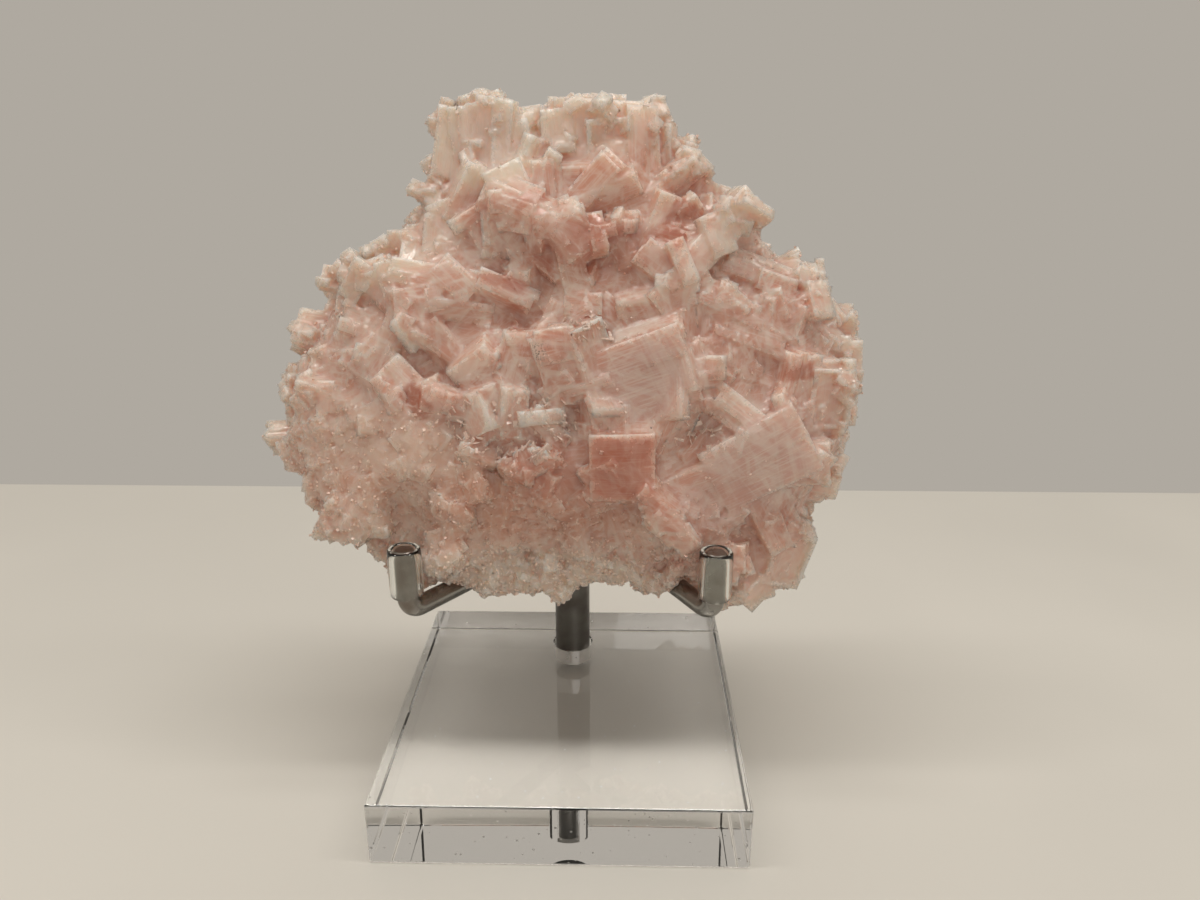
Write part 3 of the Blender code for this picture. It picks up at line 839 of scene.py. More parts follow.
@dataclass(frozen=True)
class Sowing:
    """A crop of small crystals, in millimetres and degrees.

    length is a range, width and thickness are ranges of shares of it. rise is the mean tilt
    out of the surface and spread how much it varies. sunk is how deep the crystal lies, from
    0, resting on the surface, to 1, half of it or more below. stray is how much headings
    depart from the grain of the place.
    """

    count: int
    length: tuple[float, float]
    width: tuple[float, float]
    thickness: tuple[float, float]
    rise: float
    spread: float
    sunk: float
    stray: float = 30.0


@dataclass
class Grower:
    """Turns crystals into bars, and sows small ones over a skin."""

    core: Core
    seed: int = 41
    rib_width: float = 1.5
    broad_rib: float = 3.2
    slab_width: float = 7.0
    rib_evenness: float = 7.0
    rib_overlap: float = 0.25
    most_lower: float = 0.9
    rib_turn: float = 1.2
    hopper_rim: float = 0.09
    hopper_sink: float = 0.07
    hopper_rough: float = 0.15
    hopper_turn: float = 0.5
    sown_spin: float = 30.0
    rise_limits: tuple[float, float] = (-10, 88)
    crossing_share: float = 0.35
    draw: np.random.Generator = field(init=False)

    def __post_init__(self) -> None:
        """Starts the seeded draw."""
        self.draw = np.random.default_rng(self.seed)

    def bars(self, middle: Array, size: Array, axes: Array) -> Bars:
        """Bars with a random tint each."""
        return Bars(middle, size, axes, self.draw.uniform(0, 1, len(middle)))

    def grow(self, crystals: list[Crystal]) -> Bars:
        """The bars of all these crystals, by their habits."""
        return Bars.joined([self.grow_one(crystal) for crystal in crystals])

    def grow_one(self, crystal: Crystal) -> Bars:
        """The bars of one crystal.

        Args:
            crystal: the crystal.

        Returns:
            Its bars.
        """
        if crystal.habit is Habit.HOPPER:
            return self.hopper(crystal)
        width, fewest, rough = {
            Habit.BLADE: (self.rib_width, 2, 0.10),
            Habit.BLOCK: (self.broad_rib, 2, 0.05),
            Habit.PLATE: (self.slab_width, 1, 0.03),
        }[crystal.habit]
        return self.ribbed(crystal, max(fewest, round(crystal.width / width)), rough)

    def ribbed(self, crystal: Crystal, ribs: int, rough: float) -> Bars:
        """Parallel ribs side by side across the width, each a little shorter or lower.

        Args:
            crystal: the crystal.
            ribs: how many.
            rough: the most that a rib is shorter at each end, as a share of the length.

        Returns:
            A bar for each rib.
        """
        axes = crystal.axes()
        share = self.draw.dirichlet(np.full(ribs, self.rib_evenness))
        place = (np.cumsum(share) - share / 2 - 0.5) * crystal.width
        shorter = self.draw.uniform(0, rough, (2, ribs)) * crystal.length
        lower = self.draw.uniform(0, self.most_lower, ribs)
        drop = self.draw.uniform(-0.5, 0.5, ribs) * lower
        offset = np.stack([(shorter[0] - shorter[1]) / 2, place, drop], axis=1)
        length = crystal.length - shorter.sum(axis=0)
        width = share * crystal.width + self.rib_overlap
        size = np.stack([length, width, crystal.thickness - lower], axis=1)
        ways = self.nudged(np.repeat(axes[None], ribs, axis=0), self.rib_turn)
        return self.bars(crystal.middle() + offset @ axes, size, ways)

    def hopper(self, crystal: Crystal) -> Bars:
        """A block with four raised rims round its outward face.

        Args:
            crystal: the crystal.

        Returns:
            A bar for the block and one for each rim.
        """
        axes = crystal.axes()
        outward = 1.0 if axes[2, 2] * crystal.n >= 0 else -1.0
        length, width, thick = crystal.length, crystal.width, crystal.thickness
        rim, sink = self.hopper_rim * min(length, width), self.hopper_sink * min(length, width)
        half_l, half_w = length / 2 - rim / 2, width / 2 - rim / 2
        block = (0, 0, -outward * sink / 2)
        offset = np.array([block, (0, half_w, 0), (0, -half_w, 0), (half_l, 0, 0), (-half_l, 0, 0)])
        long_rim, short_rim = (length, rim, thick), (rim, width, thick)
        inner = (length - 0.1, width - 0.1, thick - sink)
        size = np.array([inner, long_rim, long_rim, short_rim, short_rim])
        size[1:] += self.draw.uniform(-self.hopper_rough, self.hopper_rough, (4, 3))
        ways = self.nudged(np.repeat(axes[None], len(size), axis=0), self.hopper_turn)
        return self.bars(crystal.middle() + offset @ axes, size, ways)

    def nudged(self, axes: Array, degrees: float) -> Array:
        """The axes turned by small random angles, and squared up again by Gram-Schmidt.

        Args:
            axes: k by 3 axes by 3 coordinates.
            degrees: how far they turn, as a standard deviation.

        Returns:
            The turned axes.
        """
        a, b, c = np.radians(self.draw.normal(0, degrees, (3, len(axes))))
        zero = np.zeros_like(a)
        rows = [np.stack([zero, a, -b], 1), np.stack([-a, zero, c], 1), np.stack([b, -c, zero], 1)]
        moved = axes + np.stack(rows, axis=1) @ axes
        first = unit(moved[:, 0])
        second = unit(moved[:, 1] - first * np.sum(first * moved[:, 1], axis=1)[:, None])
        return np.stack([first, second, np.cross(first, second)], axis=1)

    def scattered(self) -> list[Crystal]:
        """The crystals strewn over the front, the back and the rim.

        The strip of the back that the stand's back arm passes has none.

        Returns:
            The crystals.
        """
        draw = np.random.default_rng(17)
        strip, rim_count = 9.0, 36
        found = []
        for count, side in ((44, Side.FRONT), (46, Side.BACK)):
            for _ in range(count):
                angle = draw.uniform(0, 2 * math.pi)
                u, v = self.core.place(angle, 0.95 * math.sqrt(draw.uniform(0, 1)))
                height = self.core.height(u, v, side) + draw.uniform(-1.5, 0.5)
                length = draw.uniform(8, 14)
                sides = length, length * draw.uniform(0.35, 0.60), length * draw.uniform(0.28, 0.50)
                heading, rise = draw.uniform(0, 180), side.value * draw.normal(8, 16)
                turn = heading, rise, draw.uniform(0, 180)
                if side is Side.FRONT or abs(u) > strip:
                    found.append(Crystal(BLADE, u, v, side.value * height, *sides, *turn))
        for step in range(rim_count):
            angle = 2 * math.pi * (step + draw.uniform(0.1, 0.9)) / rim_count
            u, v = self.core.place(angle, draw.uniform(0.86, 0.90))
            length = draw.uniform(9, 12)
            n = draw.uniform(-9, 5)
            sides = length, length * draw.uniform(0.45, 0.65), length * draw.uniform(0.35, 0.55)
            heading = math.degrees(angle) + draw.normal(0, 25)
            turn = heading, draw.normal(0, 15), draw.uniform(0, 180)
            found.append(Crystal(BLADE, u, v, n, *sides, *turn))
        return found

    def grain(self, places: Array, stray: float) -> Array:
        """Headings that drift slowly over the specimen, a third of them crossing the others.

        Args:
            places: k by 3 places.
            stray: how far each heading departs, in degrees.

        Returns:
            The headings, in radians.
        """
        count = len(places)
        u, v = places[:, 0], places[:, 1]
        drift = 1.5 * np.sin(0.09 * u + 0.05 * v + 1.0) + 1.2 * np.cos(0.08 * v - 0.05 * u)
        crossing = np.where(self.draw.uniform(0, 1, count) < self.crossing_share, np.pi / 2, 0)
        return drift + crossing + np.radians(self.draw.normal(0, stray, count))

    def sown(self, skin: Skin, weight: Array, crop: Sowing) -> Bars:
        """Small crystals rooted at points of a skin.

        The long axis is the grain's heading laid onto the surface and lifted from it by the
        rise. The middle lies far enough out for the asked share of the crystal to show.

        Args:
            skin: what they grow on.
            weight: how likely each of its points is.
            crop: the kind of crystal.

        Returns:
            The bars.
        """
        count = min(crop.count, np.count_nonzero(weight > 0))
        chosen = self.draw.choice(len(weight), count, replace=False, p=weight / weight.sum())
        places, normals = skin.points[chosen], skin.normals[chosen]
        length = self.draw.uniform(*crop.length, count)
        width = length * self.draw.uniform(*crop.width, count)
        thickness = length * self.draw.uniform(*crop.thickness, count)
        rise = np.radians(np.clip(self.draw.normal(crop.rise, crop.spread, count), *self.rise_limits))
        heading = self.grain(places, crop.stray)
        spin = np.radians(self.draw.normal(0, self.sown_spin, count))
        flat = np.stack([np.cos(heading), np.sin(heading), 0.3 * np.sin(3 * heading)], axis=1)
        flat = unit(flat - normals * np.sum(flat * normals, axis=1)[:, None])
        along = np.cos(rise)[:, None] * flat + np.sin(rise)[:, None] * normals
        axes = spun(along, np.cross(normals, flat), spin)
        reach = np.abs(np.sin(rise)) * length / 2 + np.cos(rise) * thickness / 2
        middle = places + normals * ((1 - 2 * crop.sunk) * reach)[:, None]
        return self.bars(middle, np.stack([length, width, thickness], axis=1), axes)


@dataclass(frozen=True)
class Patch:
    """A patch on the front of the plate, in millimetres, turned by degrees from u.

    It is an ellipse with a soft edge, or a rectangle with a firm one.
    """

    u: float
    v: float
    reach: float
    width: float
    turn: float = 0.0
    strength: float = 1.0
    square: bool = False

    def mask(self, points: Array) -> Array:
        """The patch's strength in its middle, falling to nought outside it and on the back.

        Args:
            points: k by 3 places in the plate frame.

        Returns:
            The strength at each place.
        """
        turn = math.radians(self.turn)
        du, dv = points[:, 0] - self.u, points[:, 1] - self.v
        along = np.abs(du * math.cos(turn) + dv * math.sin(turn)) / self.reach
        across = np.abs(dv * math.cos(turn) - du * math.sin(turn)) / self.width
        if self.square:
            inside = 1 - smooth_step(0.85, 1.15, np.maximum(along, across))
        else:
            inside = 1 - smooth_step(0.6, 1.15, np.hypot(along, across))
        return self.strength * inside * smooth_step(-3, 1, points[:, 2])


def patch_mask(patches: tuple[Patch, ...], points: Array) -> Array:
    """The strongest of several patches at each point."""
    return np.max([patch.mask(points) for patch in patches], axis=0)


# ---------------------------------------------------------------- material helpers


@dataclass
class Nodes:
    """Short words for building a node tree."""

    tree: NodeTree

    @staticmethod
    def of_material(name: str) -> tuple[Material, "Nodes", Node]:
        """A new material, its nodes, and its shader."""
        made = bpy.data.materials.new(name)
        made.use_nodes = True
        return made, Nodes(made.node_tree), made.node_tree.nodes["Principled BSDF"]

    def add(self, kind: str, inputs: dict | None = None, **settings: object) -> Node:
        """Adds a node, sets its properties and fills its inputs.

        Args:
            kind: the node's type.
            inputs: sockets or values for its inputs, by name or number.
            settings: its properties.

        Returns:
            The node.
        """
        node = self.tree.nodes.new(kind)
        for name, value in settings.items():
            setattr(node, name, value)
        self.fill(node, inputs or {})
        return node

    def fill(self, node: Node, inputs: dict) -> None:
        """Fills a node's inputs, by name or number."""
        for key, value in inputs.items():
            self.put(node.inputs[key], value)

    def put(self, socket: Socket, value: object) -> None:
        """Links a socket to another one, or sets its value.

        Args:
            socket: the input.
            value: another socket, or the value.
        """
        if isinstance(value, Socket):
            self.tree.links.new(value, socket)
        else:
            socket.default_value = value

    def attribute(self, name: str) -> Socket:
        """A number stored on the mesh."""
        return self.add("ShaderNodeAttribute", attribute_name=name).outputs["Fac"]

    def object_place(self) -> Socket:
        """Object coordinates, which are metres of the frame."""
        return self.add("ShaderNodeTexCoord").outputs["Object"]

    def scaled(self, vector: Socket, scale: tuple) -> Socket:
        """A vector times a scale on each axis."""
        return self.add("ShaderNodeMapping", {"Vector": vector, "Scale": scale}).outputs["Vector"]

    def noise(self, vector: Socket, size: float, detail: float) -> Socket:
        """Noise whose features are about that many metres across."""
        inputs = {"Vector": vector, "Scale": 1 / size, "Detail": detail}
        return self.add("ShaderNodeTexNoise", inputs).outputs["Fac"]

    def cells(self, vector: Socket, size: float) -> Socket:
        """Distance inside cells that are about that many metres across."""
        inputs = {"Vector": vector, "Scale": 1 / size}
        return self.add("ShaderNodeTexVoronoi", inputs).outputs["Distance"]

    def ramp(self, value: object, *limits: float) -> Socket:
        """A smooth step of a value.

        Args:
            value: what is mapped.
            limits: where the step begins and ends, and then, if they aren't 0 and 1, its results
                there.

        Returns:
            The mapped value.
        """
        inputs = dict(enumerate((value, *limits)))
        node = self.add("ShaderNodeMapRange", inputs, interpolation_type="SMOOTHSTEP")
        return node.outputs["Result"]

    def math(self, operation: str, first: object, second: object) -> Socket:
        """One Math node."""
        return self.add("ShaderNodeMath", {0: first, 1: second}, operation=operation).outputs["Value"]

    def times(self, first: object, second: object) -> Socket:
        """The product of two values."""
        return self.math("MULTIPLY", first, second)

    def mix(self, share: object, first: object, second: object) -> Socket:
        """A mix of two colours."""
        inputs = {0: share, 6: first, 7: second}
        return self.add("ShaderNodeMix", inputs, data_type="RGBA").outputs[2]

    def turned(self, vector: Socket, angle: object) -> Socket:
        """A vector turned about the axis that points out of the specimen's front."""
        inputs = {"Vector": vector, "Angle": angle}
        return self.add("ShaderNodeVectorRotate", inputs, rotation_type="Y_AXIS").outputs["Vector"]

    def effect(self, group: NodeTree, **values: object) -> dict[str, Socket]:
        """Places a shared group with values of its own, and gives its outputs by name."""
        node = self.add("ShaderNodeGroup", node_tree=group)
        self.fill(node, values)
        return {socket.name: socket for socket in node.outputs}

    def bump(self, height: object, distance: float, strength: float, **normal: Socket) -> Socket:
        """A normal bent by a height.

        Args:
            height: the height.
            distance: how many metres a height of one is worth.
            strength: how much of it shows.
            normal: Normal, the one that it bends, if not the plain one.

        Returns:
            The normal.
        """
        inputs = {"Distance": distance, "Strength": strength, "Height": height, **normal}
        return self.add("ShaderNodeBump", inputs).outputs["Normal"]


def colour(red: float, green: float, blue: float) -> tuple[float, float, float, float]:
    """An opaque colour from its display values, 0 to 255, as linear light."""
    shares = np.array((red, green, blue)) / 255
    linear = np.where(shares <= 0.04045, shares / 12.92, ((shares + 0.055) / 1.055) ** 2.4)
    return (*linear.tolist(), 1.0)


# ---------------------------------------------------------------- finishes


@dataclass(frozen=True)
class Effect:
    """A shader node group that several materials share, with named inputs and outputs."""

    name: str
    inputs: tuple[tuple[str, str], ...]
    outputs: tuple[tuple[str, str], ...]

    def begin(self) -> tuple["Nodes", dict[str, Socket], Node]:
        """Makes the empty group.

        Returns:
            Its nodes, its inputs by name, and its output node.
        """
        tree = bpy.data.node_groups.new(self.name, "ShaderNodeTree")
        for way, sockets in (("INPUT", self.inputs), ("OUTPUT", self.outputs)):
            for name, kind in sockets:
                tree.interface.new_socket(name, in_out=way, socket_type=f"NodeSocket{kind}")
        nodes = Nodes(tree)
        source, sink = nodes.add("NodeGroupInput"), nodes.add("NodeGroupOutput")
        return nodes, {name: source.outputs[name] for name, _ in self.inputs}, sink


def inner_crystals() -> NodeTree:
    """Blades that lie inside the salt, seen through its skin.

    Space is cut into long cells. Each cell has a tone, pale seams where it meets the next ones,
    and streaks, which are noise stretched along a direction of the cell's own.

    Returns:
        The group, built the first time and then used again.
    """
    effect = Effect(
        "inner crystals",
        (("Place", "Vector"), ("Size", "Float"), ("Turn", "Float")),
        (("Tone", "Float"), ("Streaks", "Float"), ("Seams", "Float")),
    )
    if effect.name in bpy.data.node_groups:
        return bpy.data.node_groups[effect.name]
    nodes, given, sink = effect.begin()
    turned_place = nodes.turned(given["Place"], given["Turn"])
    scale = nodes.math("DIVIDE", 1.0, given["Size"])
    stretched = nodes.scaled(turned_place, (1.0, 1.0, 0.4))
    inputs = {"Vector": stretched, "Scale": scale}
    cells = nodes.add("ShaderNodeTexVoronoi", inputs)
    seams = nodes.add("ShaderNodeTexVoronoi", inputs, feature="DISTANCE_TO_EDGE")
    parts = nodes.add("ShaderNodeSeparateColor", {"Color": cells.outputs["Color"]})
    own = nodes.turned(turned_place, nodes.times(parts.outputs["Red"], 3.0))
    streaks = nodes.noise(nodes.scaled(own, (1.0, 1.0, 0.10)), 0.0012, 3)
    results = {
        "Tone": parts.outputs["Green"],
        "Streaks": nodes.ramp(streaks, 0.44, 0.64),
        "Seams": nodes.ramp(seams.outputs["Distance"], 0.06, 0.0, 0.0, 0.5),
    }
    nodes.fill(sink, results)
    return nodes.tree


@dataclass(frozen=True)
class HaliteSkin:
    """The colour, roughness and relief of pink salt, with painted shade and painted light, shared by the body
    and its crumbs.

    streak is the size of the growth lines along and across a crystal, in millimetres.
    """

    pale: tuple = colour(238, 202, 184)
    rosy: tuple = colour(222, 166, 146)
    # the salt's deep tone, also used as the painted shade of recesses and broad shaded patches
    deep: tuple = colour(186, 106, 78)
    white: tuple = colour(246, 232, 220)
    cream: tuple = colour(226, 192, 162)
    veil: tuple = colour(226, 204, 196)
    # painted peach light on the right tower
    warm: tuple = colour(230, 172, 142)
    # a paler tone, also used as painted light on the towers and a painted glow at the rim
    bleached: tuple = colour(255, 230, 213)
    soot: tuple = colour(110, 102, 98)
    streak: tuple = (0.09, 2.8, 1.0)
    line_depth: float = 0.00007
    effect: Effect = Effect(
        "halite skin",
        (("Place", "Vector"), ("Growth", "Vector"), ("Frost", "Float"), ("Depth", "Float")),
        (("Color", "Color"), ("Roughness", "Float"), ("Normal", "Vector")),
    )

    def group(self) -> NodeTree:
        """The group, built the first time and then used again.

        Returns:
            The group.
        """
        if self.effect.name in bpy.data.node_groups:
            return bpy.data.node_groups[self.effect.name]
        nodes, given, sink = self.effect.begin()
        place, frost = given["Place"], given["Frost"]
        cloud = nodes.noise(place, 0.006, 3)
        crumb = nodes.noise(place, 0.0011, 4)
        murky = nodes.ramp(nodes.attribute("windows"), 0.2, 1.0, 1.0, 0.25)
        lines = nodes.noise(nodes.scaled(given["Growth"], self.streak), 1.0, 5)
        skin = self.veined(nodes, self.body(nodes, cloud, given["Depth"]), place, murky)
        skin = self.patched(nodes, skin, cloud)
        # painted light: raised ridges lightened towards white
        skin = nodes.mix(nodes.times(nodes.attribute("crest"), 0.2), skin, self.white)
        white = self.whitening(nodes, frost, crumb, lines, murky)
        skin = nodes.mix(white, skin, self.white)
        dots = nodes.ramp(nodes.cells(place, 0.0004), 0.42, 0.30)
        specks = nodes.times(nodes.attribute("soot"), nodes.times(dots, 0.8))
        nodes.put(sink.inputs["Color"], nodes.mix(specks, skin, self.soot))
        worn = nodes.times(frost, 0.15)
        rough = nodes.math("ADD", nodes.ramp(crumb, 0.3, 0.7, 0.08, 0.26), worn)
        nodes.put(sink.inputs["Roughness"], rough)
        normal = nodes.bump(nodes.times(lines, murky), self.line_depth, 1.0)
        nodes.put(sink.inputs["Normal"], nodes.bump(crumb, 0.00006, 0.6, Normal=normal))
        return nodes.tree

    def veined(self, nodes: Nodes, skin: object, place: object, murky: object) -> Socket:
        """The colour with two sizes of inner crystals laid over it, fainter where it is clear.

        Args:
            nodes: where it is built.
            skin: the colour so far.
            place: object coordinates.
            murky: how little of the inside shows clearly.

        Returns:
            The colour.
        """
        for turn, size, most in ((0.4, 0.0056, 0.60), (1.9, 0.0032, 0.45)):
            inner = nodes.effect(inner_crystals(), Place=place, Size=size, Turn=turn)
            patchy = nodes.ramp(nodes.noise(place, 3 * size, 2), 0.35, 0.60, 0.2, most)
            patchy = nodes.times(patchy, murky)
            tone = nodes.times(inner["Tone"], nodes.times(patchy, 0.8))
            skin = nodes.mix(tone, skin, self.rosy)
            for name in ("Streaks", "Seams"):
                skin = nodes.mix(nodes.times(inner[name], patchy), skin, self.white)
        return skin

    def patched(self, nodes: Nodes, skin: object, cloud: object) -> Socket:
        """The colour with its granular, veiled and rimy patches, paler patches with painted light on the
        towers and a painted glow at the rim, and painted peach light on the right tower.

        Args:
            nodes: where it is built.
            skin: the colour so far.
            cloud: soft noise over several millimetres.

        Returns:
            The colour.
        """
        for name, shade, most in (
            ("granular", self.cream, 0.30),
            ("warm", self.warm, 0.7),
            ("bleached", self.bleached, 1.0),
            ("veils", self.veil, 0.45),
            ("rime", self.white, 0.6),
        ):
            cover = nodes.ramp(cloud, 0.25, 0.65, 0.7 * most, most)
            skin = nodes.mix(nodes.times(nodes.attribute(name), cover), skin, shade)
        return skin

    def body(self, nodes: Nodes, cloud: object, depth: object) -> Socket:
        """The colour inside a crystal: deeper in the middle of wide faces and in clear patches, with painted
        shade in recesses and in broad patches of the face.

        Args:
            nodes: where it is built.
            cloud: soft noise over several millimetres.
            depth: how deep each point lies in its recess, which sets the painted shade there.

        Returns:
            The colour.
        """
        tint = nodes.times(nodes.attribute("tint"), 0.5)
        blush = nodes.math("ADD", tint, nodes.times(cloud, 0.8))
        skin = nodes.mix(nodes.ramp(blush, 0.35, 0.95), self.pale, self.rosy)
        window = nodes.ramp(nodes.attribute("inset"), 0.3, 2.2, 0.0, 0.15)
        # painted shade: recesses mixed towards the deep colour
        sunk = nodes.times(nodes.ramp(depth, 0.05, 1.0), 0.42)
        share = nodes.ramp(cloud, 0.2, 0.6, 0.65, 0.85)
        # clear patches and painted shade, mixed towards the deep colour
        clear = nodes.times(nodes.attribute("windows"), share)
        return nodes.mix(nodes.math("MAXIMUM", nodes.math("MAXIMUM", window, sunk), clear), skin, self.deep)

    def whitening(
        self, nodes: Nodes, frost: object, crumb: object, lines: object, murky: object
    ) -> Socket:
        """How white the surface is: on worn edges, along crystal edges, in growth lines, and as painted
        glints on raised edges among the flakes.

        Args:
            nodes: where it is built.
            frost: how much raised edges whiten.
            crumb: fine noise.
            lines: noise along the growth lines.
            murky: how little of the inside shows clearly.

        Returns:
            The share of white.
        """
        worn = nodes.times(frost, nodes.ramp(crumb, 0.30, 0.70, 0.05, 0.35))
        near_edge = nodes.ramp(nodes.attribute("inset"), 0.30, 0.05)
        edge = nodes.times(near_edge, nodes.ramp(crumb, 0.35, 0.65, 0.0, 0.35))
        grown = nodes.times(nodes.ramp(lines, 0.48, 0.66, 0.0, 0.42), murky)
        # painted glints: raised edges among the flakes whitened as if they caught the light
        painted_glint = nodes.times(nodes.attribute("band"), nodes.ramp(frost, 0.1, 0.8, 0.0, 0.9))
        return nodes.math("MAXIMUM", nodes.math("MAXIMUM", worn, edge), nodes.math("MAXIMUM", grown, painted_glint))


@dataclass(frozen=True)
class HaliteFinish:
    """Translucent pink salt: how far light scatters in it, and how much passes through."""

    name: str = "halite"
    scattering: float = 1.0
    clearness: float = 0.30
    scatter: tuple = (0.0048, 0.0040, 0.0034)
    ior: float = 1.544

    def material(self) -> Material:
        """Builds the material.

        Returns:
            The material.
        """
        made, nodes, shader = Nodes.of_material(self.name)
        skin = nodes.effect(
            HaliteSkin().group(),
            Place=nodes.object_place(),
            Growth=nodes.add("ShaderNodeUVMap", uv_map="UVMap").outputs["UV"],
            Frost=nodes.attribute("frost"),
            Depth=nodes.attribute("depth"),
        )
        inputs = {
            "Base Color": skin["Color"],
            "Roughness": skin["Roughness"],
            "Normal": skin["Normal"],
            "IOR": self.ior,
            "Transmission Weight": self.clearness,
            "Subsurface Weight": self.scattering,
            "Subsurface Radius": self.scatter,
            "Subsurface Scale": 1.0,
        }
        nodes.fill(shader, inputs)
        return made


def tarnish() -> NodeTree:
    """Clouds of tarnish and fine drawing marks on steel.

    Returns:
        The group, built the first time and then used again.
    """
    effect = Effect(
        "tarnish",
        (("Place", "Vector"), ("Bright", "Color"), ("Dull", "Color"), ("Polish", "Float")),
        (("Color", "Color"), ("Roughness", "Float"), ("Normal", "Vector")),
    )
    if effect.name in bpy.data.node_groups:
        return bpy.data.node_groups[effect.name]
    nodes, given, sink = effect.begin()
    cloud = nodes.noise(given["Place"], 0.009, 4)
    grain = nodes.noise(given["Place"], 0.0005, 3)
    nodes.put(sink.inputs["Color"], nodes.mix(nodes.ramp(cloud, 0.4, 0.75), given["Bright"], given["Dull"]))
    rough = nodes.math("ADD", nodes.ramp(cloud, 0.3, 0.8, -0.04, 0.1), given["Polish"])
    nodes.put(sink.inputs["Roughness"], rough)
    nodes.put(sink.inputs["Normal"], nodes.bump(grain, 0.00002, 0.5))
    return nodes.tree


def dust() -> NodeTree:
    """Specks of dust and faint scuffs on clear plastic.

    Returns:
        The group, built the first time and then used again.
    """
    effect = Effect(
        "dust",
        (("Place", "Vector"), ("Amount", "Float"), ("Tint", "Color"), ("Polish", "Float")),
        (("Color", "Color"), ("Roughness", "Float")),
    )
    if effect.name in bpy.data.node_groups:
        return bpy.data.node_groups[effect.name]
    nodes, given, sink = effect.begin()
    dots = nodes.ramp(nodes.cells(given["Place"], 0.0035), 0.09, 0.05)
    specks = nodes.times(dots, given["Amount"])
    scuffs = nodes.noise(nodes.scaled(given["Place"], (1.0, 0.15, 1.0)), 0.0012, 4)
    nodes.put(sink.inputs["Color"], nodes.mix(specks, given["Tint"], colour(190, 190, 188)))
    rough = nodes.math("ADD", nodes.ramp(scuffs, 0.58, 0.8, 0.0, 0.06), given["Polish"])
    nodes.put(sink.inputs["Roughness"], nodes.math("ADD", rough, nodes.times(specks, 0.4)))
    return nodes.tree


@dataclass(frozen=True)
class SteelFinish:
    """Grey steel with fine drawing marks and brownish tarnish."""

    name: str
    base: tuple = colour(150, 148, 143)
    dull: tuple = colour(112, 100, 90)
    roughness: float = 0.26

    def material(self) -> Material:
        """Builds the material.

        Returns:
            The material.
        """
        made, nodes, shader = Nodes.of_material(self.name)
        looks = nodes.effect(
            tarnish(), Place=nodes.object_place(), Bright=self.base, Dull=self.dull, Polish=self.roughness
        )
        inputs = {
            "Base Color": looks["Color"],
            "Roughness": looks["Roughness"],
            "Normal": looks["Normal"],
            "Metallic": 1.0,
        }
        nodes.fill(shader, inputs)
        return made


@dataclass(frozen=True)
class ClearFinish:
    """Clear acrylic or vinyl with faint scuffs and specks of dust.

    shadow_share is how much of a light's straight ray passes, so that it casts a pale shadow.
    """

    name: str
    ior: float
    tint: tuple
    roughness: float = 0.0
    dust: float = 1.0
    shadow_share: float = 0.5

    def material(self) -> Material:
        """Builds the material.

        Returns:
            The material.
        """
        made, nodes, shader = Nodes.of_material(self.name)
        looks = nodes.effect(
            dust(), Place=nodes.object_place(), Amount=self.dust, Tint=self.tint, Polish=self.roughness
        )
        inputs = {
            "Base Color": looks["Color"],
            "Roughness": looks["Roughness"],
            "Transmission Weight": 1.0,
            "IOR": self.ior,
        }
        nodes.fill(shader, inputs)
        shadow_ray = nodes.add("ShaderNodeLightPath").outputs["Is Shadow Ray"]
        share = nodes.times(shadow_ray, self.shadow_share)
        through = nodes.add("ShaderNodeBsdfTransparent")
        mixer = nodes.add("ShaderNodeMixShader", {0: share, 1: shader.outputs[0], 2: through.outputs[0]})
        nodes.fill(nodes.tree.nodes["Material Output"], {"Surface": mixer.outputs[0]})
        return made


@dataclass(frozen=True)
class FloorFinish:
    """Matt off-white board."""

    shade: tuple = colour(216, 212, 204)

    def material(self) -> Material:
        """Builds the material.

        Returns:
            The material.
        """
        made, nodes, shader = Nodes.of_material("board")
        place = nodes.object_place()
        cloud = nodes.noise(place, 0.15, 3)
        darker = tuple(0.94 * part for part in self.shade[:3]) + (1.0,)
        nodes.put(shader.inputs["Base Color"], nodes.mix(nodes.ramp(cloud, 0.3, 0.7), self.shade, darker))
        nodes.put(shader.inputs["Normal"], nodes.bump(nodes.noise(place, 0.0012, 3), 0.00003, 0.4))
        shader.inputs["Roughness"].default_value = 0.55
        return made


# ---------------------------------------------------------------- stand


def rounded_path(start: Array, corner: Array, end: Array, radius: float, steps: int = 14) -> Array:
    """Start, a circular bend of that radius in place of the corner, and end.

    A point of the bend is centre + (first * sin((1 - t) a) + last * sin(t a)) / sin a.

    Args:
        start: the first point.
        corner: where the straight runs would meet.
        end: the last point.
        radius: the bend's radius.
        steps: how many steps the bend and each straight run have.

    Returns:
        The points.
    """
    before, after = unit(start - corner), unit(end - corner)
    half = math.acos(before @ after) / 2
    middle = unit(before + after)
    centre = corner + middle * radius / math.sin(half)
    first = corner + before * radius / math.tan(half) - centre
    last = corner + after * radius / math.tan(half) - centre
    sweep = math.pi - 2 * half
    t = np.linspace(0, 1, steps + 1)[:, None]
    bend = centre + (first * np.sin((1 - t) * sweep) + last * np.sin(t * sweep)) / math.sin(sweep)
    run_in = start + (bend[0] - start) * t[:-1]
    run_out = bend[-1] + (end - bend[-1]) * t[1:]
    return np.concatenate([run_in, bend, run_out])


def distance_to_path(places: Array, path: Array) -> Array:
    """The distance from each place to a line of straight runs.

    The nearest point of a run is start + t * run, t being the place's share along it, kept
    between nought and one.

    Args:
        places: k by 3 places.
        path: m by 3 points.

    Returns:
        The k distances.
    """
    run = np.diff(path, axis=0)
    away = places[:, None] - path[None, :-1]
    share = np.clip(np.sum(away * run, axis=2) / np.sum(run * run, axis=1), 0, 1)
    return np.linalg.norm(away - share[..., None] * run, axis=2).min(axis=1)


def straight_rod(name: str, ends: tuple | Array, radius: float, sides: int) -> Object:
    """A round rod between two points."""
    return new_object(name, *carried_tube(np.array(ends), np.full(2, radius), sides))


